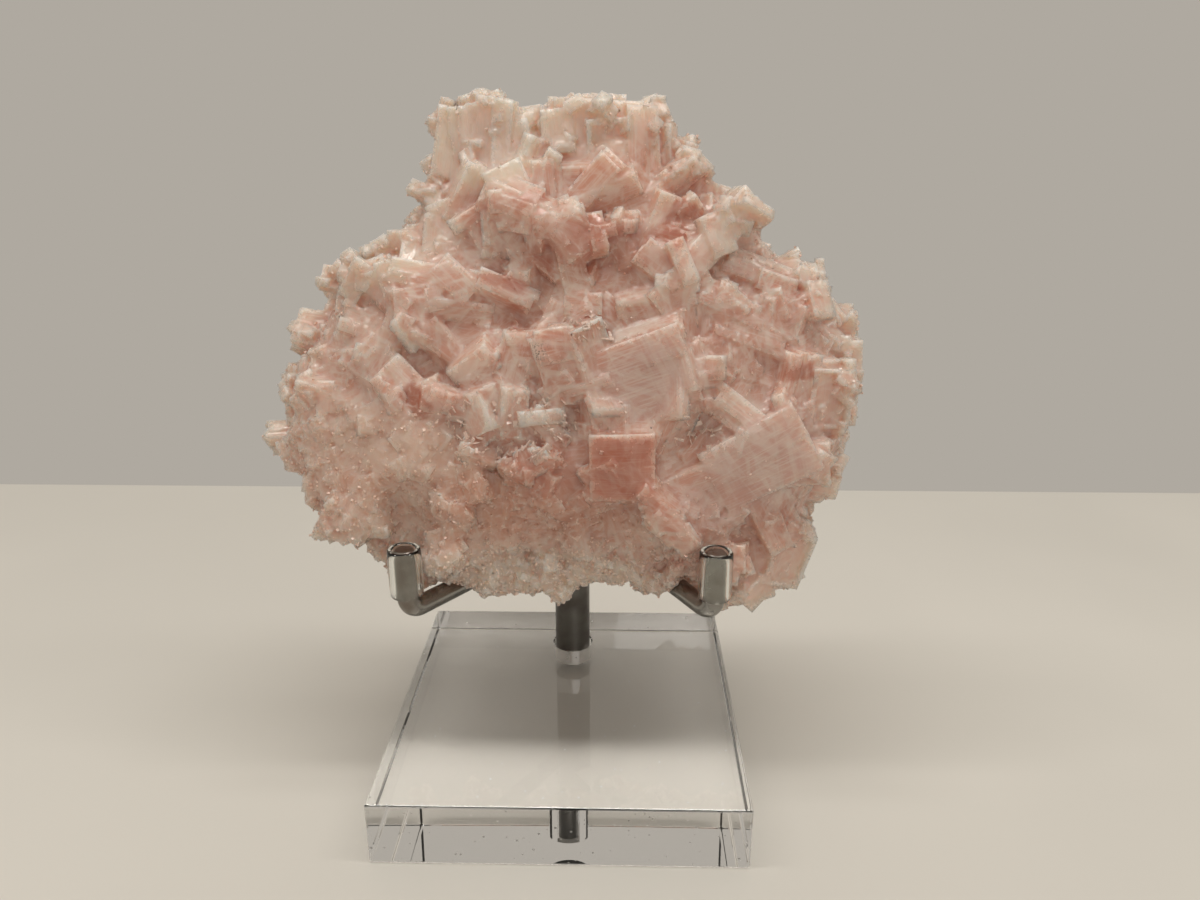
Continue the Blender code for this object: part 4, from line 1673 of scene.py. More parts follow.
def round_cornered_loop(inner: float, outer: float, length: float, corner: float, steps: int) -> Array:
    """The section of a tube wall: a rectangle of radius and height with rounded corners.

    Args:
        inner: the bore's radius.
        outer: the outside radius.
        length: the tube's length.
        corner: the corners' radius.
        steps: steps in each corner.

    Returns:
        The loop's radii and heights, up the outside and down the bore.
    """
    quarter = np.linspace(0, np.pi / 2, steps + 1)
    corners = (
        (outer - corner, corner, quarter - np.pi / 2),
        (outer - corner, length - corner, quarter),
        (inner + corner, length - corner, quarter + np.pi / 2),
        (inner + corner, corner, quarter + np.pi),
    )
    arcs = [np.stack([r + corner * np.cos(a), h + corner * np.sin(a)], 1) for r, h, a in corners]
    rise = np.linspace(0, 1, 8)[1:-1, None]
    outside = arcs[0][-1] + (arcs[1][0] - arcs[0][-1]) * rise
    bore = arcs[2][-1] + (arcs[3][0] - arcs[2][-1]) * rise
    return np.concatenate([arcs[0], outside, arcs[1], arcs[2], bore, arcs[3]])


@dataclass
class Stand:
    """The acrylic foot, the steel post, its three arms and the clear sleeves on them."""

    foot_side: float = 0.070
    foot_height: float = 0.013
    foot_bevel: float = 0.0005
    post_radius: float = 0.004
    post_y: float = 0.021
    post_top: float = 0.057
    post_chamfer: float = 0.0004
    hole_depth: float = 0.0085
    hole_clearance: float = 0.0004
    post_gap: float = 0.0003
    rod_radius: float = 0.0019
    rod_chamfer: float = 0.0003
    socket_clearance: float = 0.0003
    socket_depth: float = 0.0028
    sleeve_bore: float = 0.0021
    sleeve_radius: float = 0.0031
    front_spread: float = math.radians(35)
    front_reach: float = 0.049
    front_z: float = 0.0437
    left_socket_z: float = 0.0423
    right_socket_z: float = 0.0475
    elbow: float = 0.0031
    front_tip_z: float = 0.0562
    back_socket_z: float = 0.0515
    back_elbow_z: float = 0.0600
    back_tip: float = 0.052
    front_sleeve: float = 0.0093
    back_sleeve: float = 0.0300
    overhang: float = 0.0002
    lean: float = math.radians(8)
    sides: int = 48
    post_sides: int = 64
    seat_sides: int = 24
    socket_sides: int = 32
    mouth: float = 0.00025
    lip: float = 0.00035
    swell: float = 0.00012

    def front_path(self, side: int, socket_z: float) -> Array:
        """A front arm: out of the post, forwards and sideways, then up to its tip.

        Args:
            side: -1 for the left arm, 1 for the right one.
            socket_z: how high it leaves the post.

        Returns:
            The points of its path.
        """
        way = np.array((side * math.sin(self.front_spread), -math.cos(self.front_spread), 0))
        axis = np.array((0, self.post_y, 0))
        inner = self.post_radius - self.socket_depth + self.socket_clearance
        start = axis + way * inner + np.array((0, 0, socket_z))
        corner = axis + way * self.front_reach + np.array((0, 0, self.front_z))
        end = np.array((corner[0], corner[1], self.front_tip_z))
        return rounded_path(start, corner, end, self.elbow)

    def back_path(self) -> Array:
        """The back arm: up out of the post's top, then leaning back with the plate.

        Returns:
            The points of its path.
        """
        start = np.array((0, self.post_y, self.back_socket_z + self.socket_clearance))
        corner = np.array((0, self.post_y, self.back_elbow_z))
        end = corner + self.back_tip * np.array((0, math.sin(self.lean), math.cos(self.lean)))
        return rounded_path(start, corner, end, 4 * self.elbow)

    def paths(self) -> dict[str, Array]:
        """The path of each arm.

        Returns:
            The points of each path, by the name of the arm.
        """
        return {
            "left": self.front_path(-1, self.left_socket_z),
            "right": self.front_path(1, self.right_socket_z),
            "back": self.back_path(),
        }

    def sleeve_span(self, name: str) -> tuple[Array, Array, float]:
        """A sleeve's lower end, its axis and its length.

        Args:
            name: which arm it is on.

        Returns:
            The lower end, the unit axis and the length.
        """
        path = self.paths()[name]
        axis = unit(path[-1] - path[-2])
        length = self.back_sleeve if name == "back" else self.front_sleeve
        return path[-1] + axis * (self.overhang - length), axis, length

    def sleeve_ends(self, name: str) -> Array:
        """The two ends of a sleeve's axis."""
        base, axis, length = self.sleeve_span(name)
        return np.array([base, base + axis * length])

    def arm(self, name: str) -> Object:
        """A rod along its path, its far end chamfered.

        Args:
            name: which arm.

        Returns:
            The rod.
        """
        path = self.paths()[name]
        chamfer = self.rod_chamfer
        start = path[0] + (path[1] - path[0]) * (chamfer / np.linalg.norm(path[1] - path[0]))
        end = path[-1] + (path[-2] - path[-1]) * (chamfer / np.linalg.norm(path[-2] - path[-1]))
        path = np.concatenate([path[:1], [start], path[1:-1], [end], path[-1:]])
        radii = np.full(len(path), self.rod_radius)
        radii[[0, -1]] -= chamfer
        obj = new_object(f"{name}_arm", *carried_tube(path, radii, self.sides))
        shade_round(obj)
        return obj

    def turned_up(self, name: str, profile: list) -> Object:
        """A closed solid whose profile of radius and height is turned round the post's axis."""
        foot = np.array((0, self.post_y, 0))
        return new_object(name, *turned(np.array(profile), foot, UP, self.post_sides, ring=False))

    def sleeve(self, name: str) -> Object:
        """A clear tube with rounded lips, a little barrelled by the rod inside it.

        Args:
            name: which arm it is on.

        Returns:
            The tube.
        """
        base, axis, length = self.sleeve_span(name)
        profile = round_cornered_loop(self.sleeve_bore, self.sleeve_radius, length, self.lip, 4)
        middle = (2 * profile[:, 1] / length - 1) ** 4
        outside = profile[:, 0] > (self.sleeve_bore + self.sleeve_radius) / 2
        profile[:, 0] -= np.where(outside, self.swell * middle, 0)
        obj = new_object(f"{name}_sleeve", *turned(profile, base, axis, self.sides, ring=True))
        shade_round(obj)
        return obj

    def post(self) -> Object:
        """The upright with chamfered ends and a socket for each arm.

        Returns:
            The post.
        """
        low, high = self.foot_height - self.hole_depth + self.post_gap, self.post_top
        radius, chamfer = self.post_radius, self.post_chamfer
        below, above = (radius, low + chamfer), (radius, high - chamfer)
        obj = self.turned_up("post", [(radius - chamfer, low), below, above, (radius - chamfer, high)])
        cutters = []
        for path in self.paths().values():
            inward = unit(path[0] - path[1])
            ends = path[0] + inward * self.socket_clearance, path[0] - inward * 2 * self.post_radius
            bore = self.rod_radius + self.socket_clearance
            cutters.append(straight_rod("socket", ends, bore, self.socket_sides))
        cut_out(obj, cutters)
        shade_round(obj)
        return obj

    def foot(self) -> Object:
        """The acrylic block: a square carried up its height, drawn in round the edges.

        The inset at the bottom and top edges is bevel * (1 - cos a) at height
        bevel * (1 - sin a), and the plan's corners are rounded by the bevel too.

        Returns:
            The block, with its hole.
        """
        bevel, half, steps = self.foot_bevel, self.foot_side / 2, 5
        a = np.linspace(0, np.pi / 2, steps + 1)
        inset = bevel * (1 - np.cos(a))
        height = bevel * (1 - np.sin(a))
        insets = np.concatenate([inset[::-1], inset])
        heights = np.concatenate([height[::-1], self.foot_height - height])
        corners = []
        for quarter, sign in enumerate(((1, 1), (-1, 1), (-1, -1), (1, -1))):
            turn = a + quarter * np.pi / 2
            centre = np.array(sign) * (half - bevel)
            corners.append(centre + bevel * np.stack([np.cos(turn), np.sin(turn)], 1))
        plan = np.concatenate(corners)
        flat = plan[None] * (1 - insets[:, None, None] / half)
        level = np.broadcast_to(heights[:, None, None], (*flat.shape[:2], 1))
        points = np.concatenate([flat, level], axis=2).reshape(-1, 3)
        obj = new_object("acrylic_foot", points, capped(len(heights), len(plan)))
        radius, top = self.post_radius + self.hole_clearance, self.foot_height
        wide = radius + self.mouth
        wall = [(radius, top - self.hole_depth), (radius, top - self.mouth)]
        cut_out(obj, [self.turned_up("hole", [*wall, (wide, top), (wide, top + 0.002)])])
        return obj

    def distance(self, places: Array) -> Array:
        """How far places lie outside the nearest rod, sleeve or post.

        It is the least distance to the straight runs of each piece's axis, less its radius.

        Args:
            places: k by 3 places in metres.

        Returns:
            The distances, below nought inside a piece.
        """
        post = np.array([(0, self.post_y, 0.0), (0, self.post_y, self.post_top)])
        gaps = [distance_to_path(places, post) - self.post_radius]
        for name, path in self.paths().items():
            gaps.append(distance_to_path(places, path) - self.rod_radius)
            gaps.append(distance_to_path(places, self.sleeve_ends(name)) - self.sleeve_radius)
        return np.min(gaps, axis=0)

    def seats(self, clearance: float) -> list[Object]:
        """Rods, sleeves and post, swollen by a clearance, to be taken out of the crystal.

        Args:
            clearance: how much they are swollen.

        Returns:
            One closed object for each.
        """
        made = []
        for name, path in self.paths().items():
            radii = np.full(len(path), self.rod_radius + clearance)
            made.append(new_object("seat", *carried_tube(path, radii, self.seat_sides)))
            tube = self.sleeve_ends(name)
            made.append(straight_rod("seat", tube, self.sleeve_radius + clearance, self.seat_sides))
        ends = (0, self.post_y, 0.03), (0, self.post_y, self.post_top)
        made.append(straight_rod("seat", ends, self.post_radius + clearance, self.socket_sides))
        return made

    def build(self) -> None:
        """Makes and dresses all the pieces of the stand."""
        bright = SteelFinish("bright_steel").material()
        dark = SteelFinish("dark_steel", colour(116, 113, 108), colour(84, 78, 72), 0.34).material()
        acrylic = ClearFinish("acrylic", 1.49, colour(255, 255, 255)).material()
        vinyl = ClearFinish("vinyl", 1.53, colour(246, 247, 243), 0.03, 0.0).material()
        place_piece(self.foot(), acrylic, "acrylic_foot")
        place_piece(self.post(), dark, "post")
        for name in self.paths():
            place_piece(self.arm(name), bright, f"{name}_arm")
            place_piece(self.sleeve(name), vinyl, f"{name}_sleeve")


def place_piece(obj: Object, material: Material, node: str) -> None:
    """Dresses a piece and lets it stand for its CAD node.

    Args:
        obj: the piece.
        material: its finish.
        node: the CAD node that it replaces.
    """
    obj.name = f"{node}_fine"
    obj.data.materials.clear()
    obj.data.materials.append(material)
    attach(obj, "root")
    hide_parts(node)
    LOG.info("%s: %d faces", obj.name, len(obj.data.polygons))


# ---------------------------------------------------------------- cluster


@dataclass
class Cluster:
    """The halite specimen: a core and thousands of crystals, grown together into one skin.

    line, lump and grit are the height and the size of the growth lines, of the soft lumps and
    of the sugary grain, in millimetres. bar_reach is how far from a bar its points may lie.
    """

    lean: float = math.radians(8)
    origin: tuple[float, float, float] = (0.0, -0.001, 0.0465)
    clearance: float = 0.0003
    looseness: float = 0.03
    crumb_looseness: float = 0.12
    coarse: float = 0.0009
    fine: float = 0.00042
    box_slack: float = 0.0005
    bar_reach: float = 0.6
    snap: float = 0.32
    flatness: float = 0.66
    flatten_rounds: int = 260
    most_triangles: int = 190000
    back_strip: float = 9.0
    hero_share: float = 0.12
    line: tuple[float, float] = (0.06, 0.9)
    lump: tuple[float, float] = (0.10, 2.6)
    grit: tuple[float, float] = (0.10, 0.95)
    core: Core = field(default_factory=Core)
    blades: Sowing = Sowing(360, (4.0, 9.0), (0.30, 0.60), (0.22, 0.42), 9, 11, 0.77)
    slabs: Sowing = Sowing(280, (4.0, 8.5), (0.60, 0.95), (0.25, 0.40), 7, 10, 0.80)
    rim_blades: Sowing = Sowing(260, (3.5, 7.5), (0.35, 0.70), (0.25, 0.50), 20, 18, 0.70, 50)
    chips: Sowing = Sowing(300, (1.8, 4.2), (0.45, 0.90), (0.35, 0.70), 12, 18, 0.80, 60)
    rim_chips: Sowing = Sowing(420, (1.5, 3.6), (0.40, 0.80), (0.30, 0.60), 22, 20, 0.76, 80)
    grains: Sowing = Sowing(600, (1.2, 4.2), (0.60, 1.00), (0.40, 0.70), 15, 18, 0.86, 90)
    teeth: Sowing = Sowing(1500, (0.8, 2.2), (0.40, 0.90), (0.35, 0.70), 45, 25, 0.55, 90)
    sugar: Sowing = Sowing(3600, (0.20, 0.55), (0.70, 1.00), (0.60, 1.00), 35, 35, 0.50, 90)
    flakes: Sowing = Sowing(180, (0.9, 2.4), (0.30, 0.70), (0.06, 0.12), 50, 22, 0.66, 70)

    granular: tuple[Patch, ...] = (Patch(-28, 17, 27, 15, -20), Patch(2, 8, 22, 9, -8, 0.7))
    # painted peach light on the right tower
    warm: tuple[Patch, ...] = (Patch(10.5, 81, 6, 4.5, 10), Patch(12, 73, 10, 8, 0, 0.45))
    # Paler patches; the two on the towers also paint light that brightens the top.
    bleached: tuple[Patch, ...] = (
        Patch(-13, 80, 12, 12),
        Patch(4, 84, 15, 9, 0, 0.75),
        Patch(-30, 60, 17, 7, 35, 0.7),
        Patch(-30, 48, 14, 8, 0, 0.15),
        Patch(-30, 26, 16, 7, -15, 0.35),
        Patch(31, 64, 9, 4, 45, 0.6),
        Patch(50, 38, 5, 10, 0, 0.35),
        Patch(-47, 32, 7, 14, 0, 0.35),
        Patch(-32, 8, 12, 5, -30, 0.5),
        Patch(-6, 1, 28, 5.5, -3, 0.9),
        Patch(35, 4, 10, 9, 0, 0.15),
    )
    veils: tuple[Patch, ...] = (
        Patch(15.5, 38, 10, 8, 20),
        Patch(37, 24, 13, 10, 35),
        Patch(29, 15, 9, 6, 0, 0.8),
        Patch(-14, 80, 7, 8, 0, 0.6),
    )
    rime: tuple[Patch, ...] = (
        # patches of white frost
        Patch(-16.7, 38.6, 2.4, 1.8, 20),
        Patch(7.7, 70, 3.2, 1.5, 5),
        Patch(29, 65, 9, 1.4, 46, 0.6),
        Patch(4, 87, 12, 2.0, 0, 0.5),
        Patch(-13.5, 59.5, 1.8, 2.8, 20, 0.7),
        Patch(23.8, 61, 1.5, 1.2),
        Patch(-19.8, 80.5, 1.6, 1.2),
        Patch(17, 60, 2.4, 1.6, 0, 0.7),
        Patch(51, 43, 2, 2.5, 0, 0.7),
        Patch(2.6, 38.7, 0.8, 0.8),
        # bright rims of the two wide plates and of the slab under them
        Patch(12, 46, 6, 0.9, 21),
        Patch(25, 38, 4.3, 0.8, -68),
        Patch(33.5, 33.4, 4, 0.8, -28),
        Patch(39.5, 28, 4.6, 0.8, -50),
        Patch(40, 17.8, 3.5, 0.8, -43),
        # ledge along the lower edge
        Patch(5, 4, 11, 0.6, 6, 0.7),
        Patch(21, 6.6, 5, 0.6, 20, 0.7),
    )
    # Square patches are clear spots where the deep tone shows through; the broad round ones are painted
    # shade.
    windows: tuple[Patch, ...] = (
        # between the towers and the upright blades
        Patch(20.5, 64.4, 4.5, 2.6, 60, 0.9, True),
        Patch(-15.5, 67.6, 5, 2.6, 15, 0.7, True),
        Patch(-5, 68.3, 3, 1.3, 20, 0.7, True),
        Patch(-2.8, 57, 1.8, 4.2, 8, 0.9, True),
        Patch(6, 61, 2.2, 5, 5, 0.8, True),
        # in the fan on the left
        Patch(-10, 54.5, 4.6, 1.3, -20, 0.9, True),
        Patch(-21.5, 48, 2.0, 0.8, -15, 1.0, True),
        Patch(-23.3, 45.7, 5, 1.0, -30, 0.6, True),
        Patch(-16.5, 46.6, 2.3, 2.6, 10, 0.6, True),
        Patch(-8, 48, 2.0, 2.8, 25, 0.8, True),
        Patch(-25.5, 33.5, 3.4, 1.8, -50, 1.0, True),
        # on the right
        Patch(26.5, 46, 4, 2.6, -30, 0.7, True),
        Patch(42.5, 38.5, 3, 1.4, 10, 0.9, True),
        Patch(36, 10, 3, 1.8, 5, 0.7, True),
        Patch(35, 5.5, 1.8, 2.1, 5, 0.7, True),
        Patch(32.5, 17.3, 1.5, 1.1, 0, 0.9, True),
        # the clear cube, and broad painted shade over the lower middle and the face
        Patch(11.3, 22.0, 5.9, 5.9, 2, 1.0, True),
        Patch(-2, 17, 24, 12, 0, 0.80),
        Patch(-20, 12, 13, 8, 0, 0.45),
        Patch(32, 8, 16, 14, 0, 0.50),
        Patch(8, 60, 14, 6, 0, 0.75),
        Patch(20, 44, 30, 9, -10, 0.32),
        Patch(-8, 40, 20, 8, 0, 0.30),
    )
    soot: tuple[Patch, ...] = (Patch(-3.5, 42.6, 1.4, 1.8), Patch(44.7, -6.6, 2, 2, 0, 0.8))
    # Where flakes grow, and where raised edges get painted glints.
    band: tuple[Patch, ...] = (Patch(-8, 29, 15, 6), Patch(24, 28, 6, 4), Patch(6, 47, 5, 3))

    def plate_axes(self) -> Array:
        """The plate's right, up and out axes."""
        up = (0.0, math.sin(self.lean), math.cos(self.lean))
        out = (0.0, -math.cos(self.lean), math.sin(self.lean))
        return np.array(((1.0, 0.0, 0.0), up, out))

    def to_world(self, points: Array) -> Array:
        """Plate coordinates in millimetres as metres of the frame."""
        return np.array(self.origin) + MM * (points @ self.plate_axes())

    def to_plate(self, points: Array) -> Array:
        """Metres of the frame as plate coordinates in millimetres."""
        return (points - np.array(self.origin)) @ self.plate_axes().T / MM

    def skin_of(self, mesh: Mesh) -> Skin:
        """The points, normals and neighbours of a mesh, in the plate frame.

        Args:
            mesh: the mesh, in metres.

        Returns:
            Its skin.
        """
        places = np.empty((len(mesh.vertices), 3), np.float32)
        normals = np.empty_like(places)
        mesh.vertices.foreach_get("co", places.ravel())
        mesh.vertex_normals.foreach_get("vector", normals.ravel())
        own_normals = normals.astype(float) @ self.plate_axes().T
        return Skin(self.to_plate(places.astype(float)), own_normals, *edge_ends(mesh))

    def inside_box(self, bars: Bars) -> Bars:
        """The bars that stay inside the CAD solid's box, give or take the slack.

        Args:
            bars: the bars.

        Returns:
            Those that stay inside.
        """
        low, high = (np.array(corner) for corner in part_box(SPECIMEN))
        places, _ = box_mesh(bars, np.random.default_rng(3), 0.0)
        world = self.to_world(places)
        inside = (world > low - self.box_slack) & (world < high + self.box_slack)
        return bars.only(inside.reshape(len(bars), -1).all(axis=1))

    def skinned(self, bars: Bars, voxel: float) -> Object:
        """The core and the bars under one closed skin, remeshed from cubes of that size.

        Args:
            bars: the bars.
            voxel: the size of a cube, in metres.

        Returns:
            The closed object.
        """
        core_points, core_faces = self.core.surface()
        bar_points, bar_faces = box_mesh(bars, np.random.default_rng(3), self.looseness)
        points = np.concatenate([core_points, bar_points])
        faces = core_faces + (bar_faces + len(core_points)).tolist()
        obj = new_object(SPECIMEN, self.to_world(points), faces)
        finish(obj, "REMESH", mode="VOXEL", voxel_size=voxel, use_smooth_shade=True)
        return obj

    def rim_share(self, points: Array) -> Array:
        """How far out points lie, from nought at the core's centre to one at its rim."""
        u, v = points[:, 0], points[:, 1] - self.core.centre_v
        return np.hypot(u, v) / self.core.rim_radius(np.arctan2(v, u))

    def regions(self, skin: Skin) -> dict[str, Array]:
        """Where each kind of small crystal may grow, from nought to one at each point.

        Args:
            skin: what they grow on.

        Returns:
            Weights for the open surface, the rim, the granular patch, the strip of flakes and painted
            glints, and the hanging lower edge.
        """
        u, v, n = skin.points.T
        free = 1.0 - ((np.abs(u) < self.back_strip) & (n < -4))
        rim = smooth_step(0.85, 0.97, self.rim_share(skin.points))
        towers = smooth_step(64, 76, v)
        granular = patch_mask(self.granular, skin.points)
        lower = smooth_step(9, 1, v) * smooth_step(-4, 2, n) * smooth_step(34, 24, u)
        return {
            "open": free * (1 - 0.8 * granular) * (1 - 0.9 * rim) * (1 - 0.8 * towers),
            "rim": free * rim,
            "granular": granular,
            "band": patch_mask(self.band, skin.points),
            "lower": lower,
            "any": free * (0.12 + 0.2 * rim + granular + lower),
        }

    def all_bars(self) -> Bars:
        """Every bar of the skin: the placed crystals first, then the crops sown on them.

        Returns:
            The bars.
        """
        grower = Grower(self.core)
        heroes = grower.grow(outline_crystals() + face_crystals())
        bars = Bars.joined([heroes, grower.grow(grower.scattered())])
        LOG.info("placed crystals: %d bars", len(bars))
        rounds = (
            (("open", self.blades), ("open", self.slabs), ("rim", self.rim_blades)),
            (("open", self.chips), ("rim", self.rim_chips), ("granular", self.grains), ("lower", self.teeth)),
        )
        for crops in rounds:
            ground = self.skinned(bars, self.coarse)
            skin = self.skin_of(ground.data)
            bpy.data.objects.remove(ground)
            regions = self.regions(skin)
            on_heroes = self.nearest_bars(skin.points, heroes)[0] >= 0
            regions["open"] = regions["open"] * np.where(on_heroes, self.hero_share, 1)
            grown = [grower.sown(skin, regions[region], crop) for region, crop in crops]
            bars = self.inside_box(Bars.joined([bars, *grown]))
            LOG.info("with crystals sown: %d bars", len(bars))
        return bars

    def nearest_bars(self, points: Array, bars: Bars) -> tuple[Array, Array]:
        """Which bar each point of the skin belongs to, and where it lies on that bar.

        The distance to a bar is the greatest of its three distances beyond the bar's sides.
        Only points within a bar's own reach along u are looked at.

        Args:
            points: k by 3 places.
            bars: the bars.

        Returns:
            The bar's number, or -1, and the place along its own three axes.
        """
        order = np.argsort(points[:, 0])
        sorted_u = points[order, 0]
        best = np.full(len(points), self.bar_reach)
        owner, local = np.full(len(points), -1), points.copy()
        reach = np.linalg.norm(bars.size, axis=1) / 2 + 1
        low = np.searchsorted(sorted_u, bars.middle[:, 0] - reach)
        high = np.searchsorted(sorted_u, bars.middle[:, 0] + reach)
        for k in range(len(bars)):
            near = order[low[k]:high[k]]
            near = near[np.abs(points[near, 1] - bars.middle[k, 1]) < reach[k]]
            own = (points[near] - bars.middle[k]) @ bars.axes[k].T
            beyond = np.abs(np.max(np.abs(own) - bars.size[k] / 2, axis=1))
            closer = beyond < best[near]
            best[near[closer]] = beyond[closer]
            owner[near[closer]] = k
            local[near[closer]] = own[closer]
        return owner, local

    def roughened(self, skin: Skin, bars: Bars) -> Array:
        """The skin's points moved in and out for growth lines, lumps and sugary grain.

        Growth lines are noise of the place across the bar, with hardly any change along it.

        Args:
            skin: the skin.
            bars: the bars that it was made of.

        Returns:
            The moved points.
        """
        owner, local = self.nearest_bars(skin.points, bars)
        across = local * (0.06, 1, 1) + owner[:, None] * 7.3
        grain = 0.6 + 0.4 * patch_mask(self.granular, skin.points)
        plain = np.where(owner >= 0, 0.4, 1.0)
        line, lump, grit = self.line, self.lump, self.grit
        move = line[0] * lattice_noise(across, line[1], 1) * (owner >= 0)
        move += lump[0] * plain * lattice_noise(skin.points, lump[1], 2)
        move += grit[0] * plain * grain * lattice_noise(skin.points, grit[1], 3)
        return skin.points + skin.normals * move[:, None]

    def sharpened(self, skin: Skin, bars: Bars) -> Array:
        """The skin's points drawn onto the sides, edges and corners of the bars they belong to.

        Along each of the bar's axes, a point that lies within the reach of the bar's side moves
        onto it. The cubes of the remesh cut edges off, and this brings them back.

        Args:
            skin: the skin.
            bars: the bars that it was made of.

        Returns:
            The moved points.
        """
        owner, local = self.nearest_bars(skin.points, bars)
        half = bars.size[owner] / 2
        onto = np.sign(local) * half
        near = (np.abs(np.abs(local) - half) < self.snap) & (owner >= 0)[:, None]
        moved = np.where(near, onto - local, 0)
        return skin.points + np.einsum("ki,kij->kj", moved, bars.axes[owner])

    def flattened(self, skin: Skin) -> Array:
        """How far each point of the skin moves along n, to give the specimen a lower relief.

        It is a share of the way to the skin blurred over a few millimetres. The share fades
        out towards the rim, so that the outline stays.
        """
        n = skin.points[:, 2]
        share = self.flatness * (1 - smooth_step(0.78, 0.98, self.rim_share(skin.points)))
        return share * (skin.blurred(n, self.flatten_rounds) - n)

    def put_points(self, obj: Object, points: Array) -> None:
        """Moves an object's points to places in the plate frame, inside the CAD solid's box.

        Args:
            obj: the object.
            points: a place for each of its points.
        """
        low, high = (np.array(corner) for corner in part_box(SPECIMEN))
        world = np.clip(self.to_world(points), low, high)
        obj.data.vertices.foreach_set("co", world.astype(np.float32).ravel())
        obj.data.update()

    def body(self, stand: Stand, bars: Bars) -> Object:
        """The fused specimen, cleared round the stand, without closed-in pockets.

        Args:
            stand: what the specimen is cleared round.
            bars: all its bars.

        Returns:
            The body.
        """
        obj = self.skinned(bars, self.fine)
        drop_pockets(obj)
        LOG.info("skin: %d faces", len(obj.data.polygons))
        self.put_points(obj, self.skin_of(obj.data).smoothed(1))
        self.put_points(obj, self.sharpened(self.skin_of(obj.data), bars))
        self.put_points(obj, self.roughened(self.skin_of(obj.data), bars))
        skin = self.skin_of(obj.data)
        lift = self.flattened(skin)
        store(obj.data, "lift", lift)
        self.put_points(obj, skin.points + lift[:, None] * (0, 0, 1))
        cut_out(obj, stand.seats(self.clearance))
        drop_pockets(obj)
        obj.data.calc_loop_triangles()
        share = self.most_triangles / len(obj.data.loop_triangles)
        finish(obj, "DECIMATE", ratio=min(1.0, share))
        drop_pockets(obj)
        obj.data.shade_smooth()
        return obj

    def dress(self, obj: Object, bars: Bars, frost: float) -> None:
        """Stores what the finish reads: tint, frost, the masks of painted shade and painted light, patches
        and growth-line places.

        Args:
            obj: a piece of the specimen.
            bars: the bars that it is made of.
            frost: how much its raised edges whiten.
        """
        mesh = obj.data
        skin = self.skin_of(mesh)
        lift = read(mesh, "lift")
        owner, local = self.nearest_bars(skin.points - lift[:, None] * (0, 0, 1), bars)
        bulge = skin.blurred(skin.bulge(), 1)
        store(mesh, "frost", frost * smooth_step(0.02, 0.12, bulge))
        inset = np.sort(bars.size[owner] / 2 - np.abs(local), axis=1)[:, 1]
        store(mesh, "inset", np.where(owner >= 0, np.clip(inset, 0, 3), 3))
        store(mesh, "tint", skin.blurred(np.where(owner >= 0, bars.tint[owner], 0.5), 1))
        relief = np.sum((skin.points - skin.blurred(skin.points, 24)) * skin.normals, axis=1)
        # painted shade: how far each point lies in a recess
        store(mesh, "depth", smooth_step(0.0, -0.9, relief))
        # painted light: how far each point stands out of its surroundings
        store(mesh, "crest", smooth_step(0.2, 1.2, relief))
        for name in ("granular", "warm", "veils", "rime", "windows", "soot", "band"):
            store(mesh, name, patch_mask(getattr(self, name), skin.points))
        # painted glow, paler towards the rim
        painted_rim_glow = 0.55 * smooth_step(0.90, 1.08, self.rim_share(skin.points))
        store(mesh, "bleached", np.maximum(patch_mask(self.bleached, skin.points), painted_rim_glow))
        corners = np.empty(len(mesh.loops), np.int32)
        mesh.loops.foreach_get("vertex_index", corners)
        lines = np.stack([local[:, 0], local[:, 1] + local[:, 2]], axis=1) + (owner * 3.7)[:, None]
        uv = mesh.uv_layers.new(name="UVMap")
        uv.data.foreach_set("uv", lines[corners].astype(np.float32).ravel())

    def crumbs(self, name: str, bars: Bars, stand: Stand) -> Object:
        """A joined piece of many small loose-edged crystals, none of them reaching the stand.

        Args:
            name: the piece's name.
            bars: the crystals.
            stand: what they keep clear of.

        Returns:
            The piece.
        """
        bars = self.inside_box(bars)
        reach = MM * np.linalg.norm(bars.size, axis=1) * (0.5 + self.crumb_looseness)
        bars = bars.only(stand.distance(self.to_world(bars.middle)) > reach)
        points, faces = box_mesh(bars, np.random.default_rng(8), self.crumb_looseness)
        obj = new_object(name, self.to_world(points), faces.tolist())
        self.put_points(obj, points)
        self.dress(obj, bars, 0.5)
        return obj

    def build(self, stand: Stand) -> None:
        """Makes and dresses the specimen: its body first, then the fine crystals on it.

        Args:
            stand: what holds the specimen.
        """
        bars = self.all_bars()
        obj = self.body(stand, bars)
        self.dress(obj, bars, 1.0)
        place_piece(obj, HaliteFinish().material(), SPECIMEN)
        skin = self.skin_of(obj.data)
        regions = self.regions(skin)
        grower = Grower(self.core, seed=52)
        crumb_finish = HaliteFinish(name="halite_crumbs", scattering=0.0, clearness=0.3).material()
        for name, region, crop in (("sugar", "any", self.sugar), ("flakes", "band", self.flakes)):
            crumbs = self.crumbs(name, grower.sown(skin, regions[region], crop), stand)
            crumbs.data.materials.append(crumb_finish)
            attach(crumbs, "root")
            LOG.info("%s: %d faces", name, len(crumbs.data.polygons))


def read(mesh: Mesh, name: str) -> Array:
    """The number kept for each point, or nought where the mesh has none.

    Args:
        mesh: the mesh.
        name: the attribute's name.

    Returns:
        The numbers.
    """
    values = np.zeros(len(mesh.vertices), np.float32)
    if name in mesh.attributes:
        mesh.attributes[name].data.foreach_get("value", values)
    return values.astype(float)


def store(mesh: Mesh, name: str, values: Array) -> None:
    """Keeps one number for each point."""
    made = mesh.attributes.new(name, "FLOAT", "POINT")
    made.data.foreach_set("value", values.astype(np.float32))


# ---------------------------------------------------------------- studio


